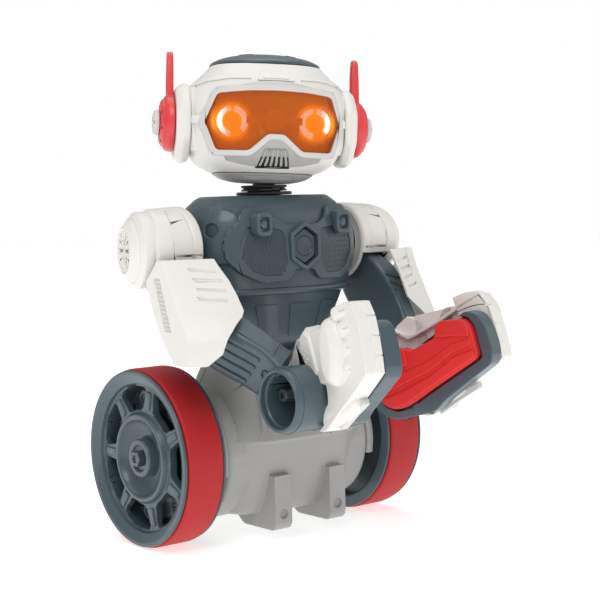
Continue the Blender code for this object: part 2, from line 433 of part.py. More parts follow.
for sname, k in SIDES:
    sh = (0, SHOULDER_Y, SHOULDER_Z)
    X = lambda a: k * a
    # shoulder: a drum open below, whose stepped outer end bends back, on a stub axle
    drum = [(0, X(42.0)), (9.0, X(42.0)), (9.0, X(51.6)), (19.0, X(52.0)), (21.0, X(53.2)), (20.3, X(68.0)), (18.0, X(70.0)), (0, X(70.0))]
    bend = Matrix.Translation((X(70.0), SHOULDER_Y, SHOULDER_Z)) @ Matrix.Rotation(-k * DRUM_TURN * -1, 4, "Z")
    def bent(prof, seg):
        bm = bm_turn([(r, X(a)) for r, a in prof], (0, 0, 0), "X", seg, closed=False)
        bmesh.ops.transform(bm, matrix=bend, verts=bm.verts)
        return bm
    part(f"shoulder_housing_{sname}", bm_turn(drum, sh, "X", 24, closed=False), "white_plastic",
         add=[bent([(0, -6.0), (20.2, -6.0), (20.2, 1.6), (18.9, 2.6), (18.9, 8.0), (17.2, 9.3), (15.0, 9.6), (14.4, 11.4), (11.2, 14.0), (0, 14.0)], 24)],
         cut=[bm_box(((52.6 if k > 0 else -71.0), -40, 110), ((71.0 if k > 0 else -52.6), 30, 142.6)),
              bm_cyl((X(54.2), SHOULDER_Y, SHOULDER_Z), (X(70.5), SHOULDER_Y, SHOULDER_Z), 18.4, 24),
              bent([(0, -3.0), (16.6, -3.0), (16.6, 6.5), (12.6, 9.5), (9.6, 12.2), (0, 12.2)], 20)], origin=sh)
    rings = [[side(k, p) for p in q] for q in ARM]
    if k < 0:
        rings = [list(reversed(q)) for q in rings]
    part(f"arm_{sname}", bm_loft(rings), "dark_plastic",
         add=[bm_cyl((X(30.3), WRIST_Y, WRIST_Z), (X(55.0), WRIST_Y, WRIST_Z), WRIST_R, 24),
              bm_cyl((X(24.2), WRIST_Y, WRIST_Z), (X(31.0), WRIST_Y, WRIST_Z), 11.8, 20),
              bm_cyl((X(SHOULDER_X), SHOULDER_Y, 136), (X(SHOULDER_X), SHOULDER_Y, 152.0), 4.0, 14),
              bm_cyl((X(SHOULDER_X), SHOULDER_Y, 143.4), (X(SHOULDER_X), SHOULDER_Y, 145.0), 7.0, 14)],
         cut=[arm_channel(k), bm_cyl((X(33), WRIST_Y, WRIST_Z), (X(60), WRIST_Y, WRIST_Z), WRIST_R - 2.3, 20),
              bm_cyl((X(26.5), WRIST_Y, WRIST_Z), (X(34), WRIST_Y, WRIST_Z), 9.6, 20)],
         origin=(X(SHOULDER_X), SHOULDER_Y, SHOULDER_Z))
    # guard: a bent plate in front of the arm with an outer side panel
    rows = [(144.5, 57.0, -45.0, -35.5, -32.0), (134.0, 54.8, -54.0, -39.5, -21.5), (120.0, 53.0, -62.5, -47.0, -27.0), (114.0, 59.0, -64.5, -50.5, -30.0),
            (107.5, 65.4, -66.0, -54.0, -33.5), (100.5, 67.0, -64.0, -56.0, -39.0), (95.0, 73.0, -60.0, -56.0, -43.5)]
    rings = [[side(k, p) for p in ((xi, yi, z), (80.2, yr - 1.0, z), (81.4, yr, z), (81.4, yb, z), (79.4, yb, z), (79.2, yr + 2.4, z), (xi + 0.4, yi + 2.2, z))]
             for z, xi, yi, yr, yb in rows]
    part(f"arm_guard_{sname}", bm_loft(rings), "white_plastic",
         cut=[bm_loft([[(k * x, y, z) for y, z in ((-33.5, 136), (-28.5, 136), (-36.5, 111), (-42.0, 111))] for x in (78.5, 82.0)])],
         origin=(X(SHOULDER_X), SHOULDER_Y, SHOULDER_Z))
    hp = hand_place(k)
    part(f"hand_body_{sname}", bm_prism(TRAY, 0.5, 9.0, hp), "dark_plastic",
         add=[bm_cyl((X(19.0), WRIST_Y, WRIST_Z), (X(29.8), WRIST_Y, WRIST_Z), 16.4, 24)],
         cut=[bm_cyl((X(23.8), WRIST_Y, WRIST_Z), (X(60.0), WRIST_Y, WRIST_Z), 12.1, 20),
              bm_prism(inset(PAD, -0.5), -5.0, 4.4, hp), bm_prism(inset(TRAY, 1.8), 5.9, 12.0, hp)],
         origin=(X(25), WRIST_Y, WRIST_Z))
    part(f"grip_pad_{sname}", bm_prism(PAD, -3.0, 4.0, hp), "red_rubber",
         cut=[bm_prism([(2, 12.5), (12, 12.0), (30, 23.0), (38, 28.5), (50, 28.5), (60, 18.0), (40, 10.5), (22, 3.0), (8, -4.0), (-2, 2)], -8.0, -0.5, hp),
              bm_prism(inset(PAD, 2.0), 1.2, 8.0, hp)],
         origin=(X(25), WRIST_Y, WRIST_Z))
    part(f"hand_cover_{sname}", bm_loft([[hp(u, v, 9.4) for u, v in RIM], [hp(u, v, 16.5) for u, v in RIM], [hp(u, v, 20.0) for u, v in inset(RIM, 3.0)]]), "white_plastic",
         cut=[bm_loft([[hp(u, v, 5.0) for u, v in inset(RIM, 1.8)], [hp(u, v, 15.8) for u, v in inset(RIM, 1.8)], [hp(u, v, 18.3) for u, v in inset(RIM, 4.2)]]),
              bm_cyl((X(5.0), WRIST_Y, WRIST_Z), (X(70.0), WRIST_Y, WRIST_Z), 17.0, 24)],
         origin=(X(25), WRIST_Y, WRIST_Z))

# ---- the whole model stands over the origin -------------------------------------
for coll in (PARTS, CUTS):
    for ob in coll.objects:
        ob.location.y += FRAME_Y * S
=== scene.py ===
import json
import math

import bpy
import bmesh
from mathutils import Matrix, Vector


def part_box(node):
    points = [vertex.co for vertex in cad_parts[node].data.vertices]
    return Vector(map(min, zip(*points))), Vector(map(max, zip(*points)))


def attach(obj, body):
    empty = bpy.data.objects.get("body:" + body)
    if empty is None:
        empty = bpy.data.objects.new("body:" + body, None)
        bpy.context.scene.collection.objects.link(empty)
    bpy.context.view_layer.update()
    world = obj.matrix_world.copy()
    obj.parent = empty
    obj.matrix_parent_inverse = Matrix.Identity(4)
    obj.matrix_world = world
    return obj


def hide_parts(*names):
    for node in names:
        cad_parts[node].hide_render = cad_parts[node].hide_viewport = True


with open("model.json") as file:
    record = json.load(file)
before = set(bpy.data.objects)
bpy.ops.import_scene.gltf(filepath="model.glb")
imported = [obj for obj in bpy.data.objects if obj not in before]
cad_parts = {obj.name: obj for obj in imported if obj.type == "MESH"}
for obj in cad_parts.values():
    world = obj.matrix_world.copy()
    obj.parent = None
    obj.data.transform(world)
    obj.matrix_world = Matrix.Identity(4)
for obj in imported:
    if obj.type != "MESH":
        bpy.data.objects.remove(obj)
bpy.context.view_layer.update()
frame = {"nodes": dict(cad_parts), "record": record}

# Looks of the toy robot. The functions work in millimetres in the design's own frame, where the wheel
# axle is at y = 0; `emit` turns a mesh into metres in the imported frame.
S = 0.001
_lo, _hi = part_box("tire_left")
FY = (_lo.y + _hi.y) / 2
WHEEL_R = 45.0
TORSO_Y = -11.0
SHOULDER_Y, SHOULDER_Z, SHOULDER_X = -9.0, 149.0, 62.0
WRIST_Y, WRIST_Z, WRIST_R = -88.0, 79.5, 15.5
HAND_TOE = math.radians(12.0)
HEAD_YAW, HEAD_ROLL, HEAD_Z = math.radians(-28.0), math.radians(3.1), 210.0
DRUM_TURN = math.radians(16.0)
SIDES = (("left", 1), ("right", -1))
HALL = 220.0


# ------------------------------------------------------------------ materials
def lin(c):
    return tuple((x / 12.92 if x <= 0.04045 else ((x + 0.055) / 1.055) ** 2.4) for x in c)


def moulded(name, rgb, rough=0.42, grain=0.05, var=0.05, coat=0.0, metallic=0.0, grain_scale=1400.0, wear=0.0, spec=0.5,
            rough_var=0.06, sub=0.0, transmission=0.0, streak=0.0):
    """Moulded plastic or rubber: a fine grain in the bump, soft mottling of colour, and uneven gloss. rgb is a display colour."""
    m = bpy.data.materials.new(name)
    m.use_nodes = True
    nt = m.node_tree
    n, l = nt.nodes, nt.links
    b = n["Principled BSDF"]
    base = lin(rgb)
    tc = n.new("ShaderNodeTexCoord")
    mottle = n.new("ShaderNodeTexNoise")
    mottle.inputs["Scale"].default_value = 38.0
    mottle.inputs["Detail"].default_value = 4.0
    l.new(tc.outputs["Object"], mottle.inputs["Vector"])
    ramp = n.new("ShaderNodeValToRGB")
    ramp.color_ramp.elements[0].position = 0.32
    ramp.color_ramp.elements[1].position = 0.68
    ramp.color_ramp.elements[0].color = (*[c * (1 - var) for c in base], 1)
    ramp.color_ramp.elements[1].color = (*[min(1.0, c * (1 + var)) for c in base], 1)
    l.new(mottle.outputs["Fac"], ramp.inputs["Fac"])
    colour = ramp.outputs["Color"]
    if wear > 0:
        geo = n.new("ShaderNodeNewGeometry")
        wr = n.new("ShaderNodeMapRange")
        wr.inputs["From Min"].default_value = 0.53
        wr.inputs["From Max"].default_value = 0.62
        l.new(geo.outputs["Pointiness"], wr.inputs["Value"])
        patch = n.new("ShaderNodeTexNoise")
        patch.inputs["Scale"].default_value = 160.0
        l.new(tc.outputs["Object"], patch.inputs["Vector"])
        mul = n.new("ShaderNodeMath")
        mul.operation = "MULTIPLY"
        l.new(wr.outputs["Result"], mul.inputs[0])
        l.new(patch.outputs["Fac"], mul.inputs[1])
        mul2 = n.new("ShaderNodeMath")
        mul2.operation = "MULTIPLY"
        l.new(mul.outputs[0], mul2.inputs[0])
        mul2.inputs[1].default_value = wear
        mix = n.new("ShaderNodeMix")
        mix.data_type = "RGBA"
        l.new(mul2.outputs[0], mix.inputs["Factor"])
        l.new(colour, mix.inputs["A"])
        mix.inputs["B"].default_value = (*[min(1.0, c * 1.6 + 0.10) for c in base], 1)
        colour = mix.outputs["Result"]
    l.new(colour, b.inputs["Base Color"])
    gloss = n.new("ShaderNodeTexNoise")
    gloss.inputs["Scale"].default_value = 150.0
    gloss.inputs["Detail"].default_value = 3.0
    l.new(tc.outputs["Object"], gloss.inputs["Vector"])
    rr = n.new("ShaderNodeMapRange")
    rr.inputs["To Min"].default_value = max(0.03, rough - rough_var)
    rr.inputs["To Max"].default_value = min(1.0, rough + rough_var)
    l.new(gloss.outputs["Fac"], rr.inputs["Value"])
    l.new(rr.outputs["Result"], b.inputs["Roughness"])
    grain_tex = n.new("ShaderNodeTexNoise")
    grain_tex.inputs["Scale"].default_value = grain_scale
    grain_tex.inputs["Detail"].default_value = 2.0
    l.new(tc.outputs["Object"], grain_tex.inputs["Vector"])
    bump = n.new("ShaderNodeBump")
    bump.inputs["Strength"].default_value = grain
    bump.inputs["Distance"].default_value = 0.00025
    l.new(grain_tex.outputs["Fac"], bump.inputs["Height"])
    l.new(bump.outputs["Normal"], b.inputs["Normal"])
    b.inputs["Metallic"].default_value = metallic
    b.inputs["Specular IOR Level"].default_value = spec
    b.inputs["Coat Weight"].default_value = coat
    b.inputs["Coat Roughness"].default_value = 0.12
    if sub > 0:
        b.inputs["Subsurface Weight"].default_value = sub
        b.inputs["Subsurface Scale"].default_value = 0.002
        b.inputs["Subsurface Radius"].default_value = (1.0, 0.7, 0.5)
    if transmission > 0:
        b.inputs["Transmission Weight"].default_value = transmission
    return m


M = {
    "white": moulded("robot_white", (0.935, 0.925, 0.905), rough=0.40, grain=0.05, var=0.012, wear=0.10, coat=0.10),
    "cream": moulded("robot_cream", (0.845, 0.84, 0.825), rough=0.42, grain=0.05, var=0.015, wear=0.10, coat=0.08),
    "grey": moulded("robot_grey", (0.66, 0.658, 0.648), rough=0.46, grain=0.10, var=0.02, wear=0.15, coat=0.0),
    "jaw": moulded("robot_jaw_grey", (0.70, 0.70, 0.69), rough=0.44, grain=0.06, var=0.015, wear=0.1),
    "dark": moulded("robot_blue_grey", (0.275, 0.345, 0.375), rough=0.36, grain=0.06, var=0.05, wear=0.35, coat=0.25),
    "dark2": moulded("robot_dark_blue_grey", (0.215, 0.275, 0.305), rough=0.34, grain=0.05, var=0.05, wear=0.25, coat=0.25),
    "black": moulded("robot_black", (0.10, 0.105, 0.115), rough=0.34, grain=0.05, var=0.06, wear=0.2, coat=0.2),
    "tyre": moulded("robot_tyre_red", (0.725, 0.135, 0.15), rough=0.55, grain=0.16, var=0.05, grain_scale=900.0, spec=0.35),
    "pad": moulded("robot_pad_red", (0.88, 0.20, 0.20), rough=0.50, grain=0.12, var=0.04, grain_scale=900.0, spec=0.4),
    "ear": moulded("robot_ear_red", (0.895, 0.25, 0.26), rough=0.36, grain=0.05, var=0.03, coat=0.2),
    "steel": moulded("robot_steel", (0.74, 0.74, 0.75), rough=0.28, grain=0.05, var=0.06, metallic=1.0, rough_var=0.1),
    "screw": moulded("robot_screw", (0.36, 0.40, 0.43), rough=0.30, grain=0.04, var=0.08, metallic=0.6, rough_var=0.1),
    "nylon": moulded("robot_nylon", (0.90, 0.89, 0.86), rough=0.42, grain=0.05, var=0.02),
    "board": moulded("robot_board", (0.12, 0.42, 0.24), rough=0.42, grain=0.06, var=0.12),
    "jacket": moulded("robot_cell", (0.30, 0.30, 0.33), rough=0.32, grain=0.03, var=0.1, metallic=0.6),
    "amber": moulded("robot_amber_inside", (0.985, 0.46, 0.12), rough=0.45, grain=0.04, var=0.03),
    # painted shade: darker copy of the amber for the dim inside behind the visor
    "amber_painted_shade": moulded("robot_amber_painted_shade", (0.80, 0.42, 0.15), rough=0.5, grain=0.04, var=0.05),
    # painted highlight: pale colour for the glints painted on the visor
    "painted_glint": moulded("robot_painted_glint", (1.0, 0.80, 0.55), rough=0.4, grain=0.03, var=0.02),
}


def lens_material():
    """Translucent amber visor: mostly clear to the rays that enter, so that the lit rings show behind it."""
    m = bpy.data.materials.new("robot_visor")
    m.use_nodes = True
    nt = m.node_tree
    n, l = nt.nodes, nt.links
    b = n["Principled BSDF"]
    tc = n.new("ShaderNodeTexCoord")
    noise = n.new("ShaderNodeTexNoise")
    noise.inputs["Scale"].default_value = 22.0
    noise.inputs["Detail"].default_value = 2.0
    l.new(tc.outputs["Object"], noise.inputs["Vector"])
    ramp = n.new("ShaderNodeValToRGB")
    ramp.color_ramp.elements[0].position = 0.3
    ramp.color_ramp.elements[1].position = 0.7
    ramp.color_ramp.elements[0].color = (*lin((0.78, 0.37, 0.09)), 1)
    ramp.color_ramp.elements[1].color = (*lin((0.86, 0.44, 0.13)), 1)
    l.new(noise.outputs["Fac"], ramp.inputs["Fac"])
    l.new(ramp.outputs["Color"], b.inputs["Base Color"])
    rn = n.new("ShaderNodeMapRange")
    rn.inputs["To Min"].default_value = 0.05
    rn.inputs["To Max"].default_value = 0.12
    l.new(noise.outputs["Fac"], rn.inputs["Value"])
    l.new(rn.outputs["Result"], b.inputs["Roughness"])
    b.inputs["Alpha"].default_value = 0.50
    b.inputs["Specular IOR Level"].default_value = 0.4
    return m


def glow_material(name, colour, strength, centre=None, r0=0.0, r1=1.0, edge=None):
    """Lit plastic, evenly lit; the centre argument (metres, object space) is not used."""
    m = bpy.data.materials.new(name)
    m.use_nodes = True
    nt = m.node_tree
    n, l = nt.nodes, nt.links
    b = n["Principled BSDF"]
    tc = n.new("ShaderNodeTexCoord")
    noise = n.new("ShaderNodeTexNoise")
    noise.inputs["Scale"].default_value = 400.0
    l.new(tc.outputs["Object"], noise.inputs["Vector"])
    ramp = n.new("ShaderNodeValToRGB")
    c0 = lin(colour)
    ramp.color_ramp.elements[0].color = (*[x * 0.94 for x in c0], 1)
    ramp.color_ramp.elements[1].color = (*c0, 1)
    l.new(noise.outputs["Fac"], ramp.inputs["Fac"])
    l.new(ramp.outputs["Color"], b.inputs["Base Color"])
    l.new(ramp.outputs["Color"], b.inputs["Emission Color"])
    b.inputs["Roughness"].default_value = 0.35
    b.inputs["Emission Strength"].default_value = strength
    return m


M["lens"] = lens_material()
M["eye"] = glow_material("robot_eye_light", (1.0, 0.90, 0.82), 1.15)


# ------------------------------------------------------------------ shape helpers (mm)
def bm_box(lo, hi):
    bm = bmesh.new()
    bmesh.ops.create_cube(bm, size=1.0)
    for v in bm.verts:
        for i in range(3):
            v.co[i] = min(lo[i], hi[i]) if v.co[i] < 0 else max(lo[i], hi[i])
    return bm


def bm_cyl(p0, p1, r0, seg=48, r1=None):
    p0, p1 = Vector(p0), Vector(p1)
    d = p1 - p0
    bm = bmesh.new()
    bmesh.ops.create_cone(bm, cap_ends=True, segments=seg, radius1=r0, radius2=r0 if r1 is None else r1, depth=d.length)
    rot = Vector((0, 0, 1)).rotation_difference(d.normalized()).to_matrix().to_4x4()
    bmesh.ops.transform(bm, matrix=Matrix.Translation((p0 + p1) / 2) @ rot, verts=bm.verts)
    return bm


def bm_turn(profile, centre, axis="X", seg=64, closed=True):
    bm = bmesh.new()
    vs = []
    for r, a in profile:
        co = {"X": (a, 0, r), "Y": (r, a, 0), "Z": (r, 0, a)}[axis]
        vs.append(bm.verts.new(co))
    n = len(vs)
    es = [bm.edges.new((vs[i], vs[(i + 1) % n])) for i in range(n if closed else n - 1)]
    ax = {"X": (1, 0, 0), "Y": (0, 1, 0), "Z": (0, 0, 1)}[axis]
    bmesh.ops.spin(bm, geom=vs + es, cent=(0, 0, 0), axis=ax, angle=2 * math.pi, steps=seg, use_duplicate=False)
    bmesh.ops.remove_doubles(bm, verts=bm.verts, dist=1e-4)
    bmesh.ops.dissolve_degenerate(bm, dist=1e-5, edges=bm.edges)
    bmesh.ops.translate(bm, vec=centre, verts=bm.verts)
    bmesh.ops.recalc_face_normals(bm, faces=bm.faces)
    return bm


def bm_loft(rings, cap=True):
    bm = bmesh.new()
    rows = [[bm.verts.new(p) for p in ring] for ring in rings]
    n = len(rows[0])
    for a, b in zip(rows, rows[1:]):
        for i in range(n):
            bm.faces.new((a[i], a[(i + 1) % n], b[(i + 1) % n], b[i]))
    if cap:
        bm.faces.new(list(reversed(rows[0])))
        bm.faces.new(rows[-1])
    bmesh.ops.recalc_face_normals(bm, faces=bm.faces)
    return bm


def inset(outline, d):
    n = len(outline)
    area = sum(outline[i][0] * outline[(i + 1) % n][1] - outline[(i + 1) % n][0] * outline[i][1] for i in range(n))
    sgn = 1 if area > 0 else -1
    out = []
    for i in range(n):
        p0, p1, p2 = Vector(outline[i - 1]), Vector(outline[i]), Vector(outline[(i + 1) % n])
        e0, e1 = (p1 - p0).normalized(), (p2 - p1).normalized()
        n0, n1 = Vector((-e0.y, e0.x)) * sgn, Vector((-e1.y, e1.x)) * sgn
        m = n0 + n1
        k = d / max(0.35, 1 + n0.dot(n1))
        out.append((p1.x + m.x * k, p1.y + m.y * k))
    return out


def rounded(outline, r, steps=5):
    """Outline with its corners rounded; r is one number, or one for each corner."""
    n = len(outline)
    out = []
    for i in range(n):
        rr = r[i] if isinstance(r, (list, tuple)) else r
        p0, p1, p2 = Vector(outline[i - 1]), Vector(outline[i]), Vector(outline[(i + 1) % n])
        a, b = p0 - p1, p2 - p1
        la, lb = a.length, b.length
        t = min(rr, 0.46 * la, 0.46 * lb)
        if t < 0.05:
            out.append(tuple(p1))
            continue
        q0, q1 = p1 + a / la * t, p1 + b / lb * t
        for s in range(steps + 1):
            u = s / steps
            out.append(tuple(q0 * (1 - u) ** 2 + p1 * 2 * u * (1 - u) + q1 * u * u))
    return out


def bm_prism(outline, d0, d1, place, e0=0.0, e1=0.0, steps=3):
    """Outline of (u, v) extruded from d0 to d1 with its rims rounded by e0 and e1; place(u, v, d) gives the point."""
    rings = []
    sg = 1 if d1 > d0 else -1

    def ring(off, d):
        o = inset(outline, off) if off else outline
        rings.append([place(u, v, d) for u, v in o])
    if e0:
        for s in range(steps):
            a = math.pi / 2 * s / steps
            ring(e0 * (1 - math.sin(a)), d0 + sg * e0 * (1 - math.cos(a)))
        ring(0, d0 + sg * e0)
    else:
        ring(0, d0)
    if e1:
        ring(0, d1 - sg * e1)
        for s in range(steps - 1, -1, -1):
            a = math.pi / 2 * s / steps
            ring(e1 * (1 - math.sin(a)), d1 - sg * e1 * (1 - math.cos(a)))
    else:
        ring(0, d1)
    return bm_loft(rings)


def super_ring(a, b, cy, z, n=2.6, seg=96, cx=0.0, bf=None):
    out = []
    for i in range(seg):
        t = 2 * math.pi * (i + 0.5) / seg
        c, s = math.cos(t), math.sin(t)
        bb = bf if (bf is not None and s < 0) else b
        out.append((cx + a * math.copysign(abs(c) ** (2 / n), c), cy + bb * math.copysign(abs(s) ** (2 / n), s), z))
    return out


def smooth_rows(rows, sub=4, tension=0.5):
    """Catmull-Rom through rows of numbers."""
    out = []
    for i in range(len(rows) - 1):
        p1, p2 = rows[i], rows[i + 1]
        p0 = rows[i - 1] if i else tuple(2 * a - b for a, b in zip(p1, p2))
        p3 = rows[i + 2] if i + 2 < len(rows) else tuple(2 * b - a for a, b in zip(p1, p2))
        for s in range(sub):
            t = s / sub
            out.append(tuple(b + 0.5 * t * ((c - a) + t * (2 * a - 5 * b + 4 * c - d + t * (3 * (b - c) + d - a)))
                             if True else 0 for a, b, c, d in zip(p0, p1, p2, p3)))
    out.append(tuple(rows[-1]))
    return out


def to_object(bm, name="tmp"):
    me = bpy.data.meshes.new(name)
    bm.to_mesh(me)
    bm.free()
    ob = bpy.data.objects.new(name, me)
    bpy.context.scene.collection.objects.link(ob)
    return ob


def csg(bm, cut=(), add=(), keep=()):
    """Solid with others joined to it, limited to others, and cut by others. Returns a new bmesh."""
    ob = to_object(bm)
    tools = []
    for op, group in (("UNION", add), ("INTERSECT", keep), ("DIFFERENCE", cut)):
        for g in group:
            t = to_object(g, "tool")
            tools.append(t)
            m = ob.modifiers.new("b", "BOOLEAN")
            m.operation, m.solver, m.object = op, "EXACT", t
    dg = bpy.context.evaluated_depsgraph_get()
    ev = ob.evaluated_get(dg)
    me = bpy.data.meshes.new_from_object(ev)
    out = bmesh.new()
    out.from_mesh(me)
    for o in tools + [ob]:
        d = o.data
        bpy.data.objects.remove(o, do_unlink=True)
        bpy.data.meshes.remove(d)
    bpy.data.meshes.remove(me)
    return out


def join(*bms):
    """Several closed bodies in one mesh, without joining their surfaces."""
    out = bmesh.new()
    for b in bms:
        me = bpy.data.meshes.new("j")
        b.to_mesh(me)
        b.free()
        out.from_mesh(me)
        bpy.data.meshes.remove(me)
    return out


def moved(bm, matrix):
    bmesh.ops.transform(bm, matrix=matrix, verts=bm.verts)
    if matrix.determinant() < 0:
        bmesh.ops.reverse_faces(bm, faces=bm.faces)
    return bm


def mirrored(bm):
    return moved(bm, Matrix.Scale(-1, 4, (1, 0, 0)))


def copy_bm(bm):
    return bm.copy()


def emit(name, bm, mat, body, nodes=(), bevel=0.0, seg=2, angle=38, smooth=32, sub=0):
    """A finished piece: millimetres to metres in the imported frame, shaded, on its body, standing for its nodes."""
    bmesh.ops.scale(bm, vec=(S, S, S), verts=bm.verts)
    bmesh.ops.translate(bm, vec=(0, FY, 0), verts=bm.verts)
    me = bpy.data.meshes.new(name)
    bm.to_mesh(me)
    bm.free()
    me.materials.append(M[mat])
    me.shade_smooth()
    me.set_sharp_from_angle(angle=math.radians(smooth))
    ob = bpy.data.objects.new(name, me)
    bpy.context.scene.collection.objects.link(ob)
    if sub:
        m = ob.modifiers.new("sub", "SUBSURF")
        m.levels = m.render_levels = sub
    if bevel:
        m = ob.modifiers.new("bevel", "BEVEL")
        m.width = bevel * S
        m.segments = seg
        m.limit_method = "ANGLE"
        m.angle_limit = math.radians(angle)
        m.use_clamp_overlap = False
        m.harden_normals = False
        w = ob.modifiers.new("wn", "WEIGHTED_NORMAL")
        w.keep_sharp = True
        w.weight = 60
    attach(ob, body)
    if nodes:
        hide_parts(*nodes)
    return ob


def P(u, v, w):
    return (u, v, w)


XZ = lambda u, v, w: (u, w, v)      # outline in x, z; depth along y
YZ = lambda u, v, w: (w, u, v)      # outline in y, z; depth along x
XY = lambda u, v, w: (u, v, w)


def bm_screw(pos, normal, r=2.2, h=1.0, kind="cross", depth=0.7):
    """Screw head: a domed disc with a cross recess, or a hexagonal head; its face along normal."""
    prof = [(0, 0), (r, 0), (r, h * 0.45), (r * 0.86, h * 0.8), (r * 0.55, h), (0, h)]
    if kind == "hex":
        o = [(r * 1.02 * math.cos(math.pi / 3 * i), r * 1.02 * math.sin(math.pi / 3 * i)) for i in range(6)]
        bm = bm_prism(o, 0, h, XY, 0, r * 0.14)
    else:
        bm = bm_turn(prof, (0, 0, 0), "Z", 28, closed=False)
        w = r * 0.17
        bm = csg(bm, cut=[bm_box((-r * 0.6, -w, h - depth), (r * 0.6, w, h + 1)), bm_box((-w, -r * 0.6, h - depth), (w, r * 0.6, h + 1))])
    q = Vector((0, 0, 1)).rotation_difference(Vector(normal).normalized()).to_matrix().to_4x4()
    return moved(bm, Matrix.Translation(pos) @ q)
# ------------------------------------------------------------------ head
HEAD_PLACE = (Matrix.Translation((0, TORSO_Y, HEAD_Z)) @ Matrix.Rotation(HEAD_YAW, 4, "Z")
              @ Matrix.Rotation(HEAD_ROLL, 4, "Y") @ Matrix.Translation((0, 0, -HEAD_Z)))
VY = -3.0


def turned(bm):
    return moved(bm, HEAD_PLACE)


HEAD = [(185.5, 26.0), (187.2, 30.0), (189.5, 33.8), (193.0, 37.0), (198.5, 39.3), (206, 40.0), (213, 40.0), (220, 40.0), (225.8, 39.5), (229.2, 37.9),
        (233.2, 34.3), (236.8, 30.6), (239.3, 28.5)]
HEAD_S = smooth_rows(HEAD, 3)


def head_solid(d=0.0, seg=96, z0=None, z1=None):
    rows = [(z, a) for z, a in HEAD_S if (z0 is None or z >= z0) and (z1 is None or z <= z1)]
    return bm_loft([super_ring(a + d, a + d, VY, z, 2.6, seg) for z, a in rows])


HEAD_IN = [(184.0, 23.0), (188.5, 28.9), (192.5, 34.0), (198.0, 37.0), (206, 37.8), (220, 37.8), (227.5, 36.6), (232.5, 31.6), (236.2, 27.6), (241, 24.5)]
head_cav = lambda: bm_loft([super_ring(a, a, VY, z, 2.6, 64) for z, a in HEAD_IN])
VISOR = [(0, 203.6), (3.9, 203.6), (13.2, 195.3), (28.9, 195.3), (34.2, 209.7), (28.6, 223.6), (14, 224.9), (0, 225.3)]
visor_outline = VISOR + [(-x, z) for x, z in reversed(VISOR[1:-1])]
VR = rounded(visor_outline, 2.2, 4)


def head_panel(outline, d0, d1, body="head"):
    """Raised panel that follows the head's surface, from d0 to d1 above it."""
    return csg(head_solid(d1), keep=[bm_prism(outline, -70, -8, XZ)], cut=[head_solid(d0)])


ear_hole = lambda: bm_cyl((-70, VY, HEAD_Z), (70, VY, HEAD_Z), 9.0, 32)
grooves = []
# front shell of the head, cut for the visor and the ear holes
front = csg(head_solid(), cut=[head_cav(), bm_box((-HALL, VY - 0.15, 150), (HALL, HALL, 300)), ear_hole(), bm_prism(VR, -70, -15, XZ)])
emit("head_front", turned(front), "white", "head", ["head_front_shell"], bevel=0.35, seg=2, angle=40)
rear_cuts = [head_cav(), bm_box((-HALL, -HALL, 150), (HALL, VY + 0.15, 300)), ear_hole()]
for i in range(5):                       # vent slots low on the back of the head
    rear_cuts.append(bm_box((-12, 25, 199 + i * 3.2), (12, 60, 200.4 + i * 3.2)))
for sx in (1, -1):                       # shallow panel grooves on the back
    rear_cuts.append(csg(head_solid(1.0), keep=[bm_prism(rounded([(sx * 16.5, 196), (sx * 30, 200), (sx * 30, 224), (sx * 16.5, 228)], 2.5), 8, 70, XZ)],
                         cut=[head_solid(-0.7), bm_prism(rounded(inset([(sx * 16.5, 196), (sx * 30, 200), (sx * 30, 224), (sx * 16.5, 228)], 0.8), 2.2), 5, 75, XZ)]))
rear = csg(head_solid(), cut=rear_cuts)
emit("head_rear", turned(rear), "white", "head", ["head_rear_shell"], bevel=0.35, seg=2, angle=40)
for sx in (1, -1):
    emit(f"head_screw_{'left' if sx > 0 else 'right'}", turned(bm_screw((sx * 23.0, 32.9, 192.6), (sx * 0.35, 0.85, -0.3), 1.9, 0.9)), "screw", "head")

# visor: rounded frame lip, tinted lens, lit eyes
frame_out = lambda d: bm_loft([super_ring(40 + d, 40 + d, VY, z, 2.6, 128) for z in (186, 234)])
fr = csg(frame_out(1.7), keep=[bm_prism(rounded(inset(visor_outline, -2.5), 3.0, 4), -70, -18, XZ)],
         cut=[frame_out(-1.2), bm_prism(rounded(inset(visor_outline, 0.25), 2.0, 4), -90, -10, XZ)])
emit("visor_rim", turned(fr), "cream", "head", ["visor_frame"], bevel=0.55, seg=3, angle=40)
lens = csg(frame_out(-0.2), keep=[bm_prism(rounded(inset(visor_outline, 0.3), 2.0, 4), -70, -15, XZ)], cut=[frame_out(-1.1)])
emit("visor_window", turned(lens), "lens", "head", ["visor_lens"])

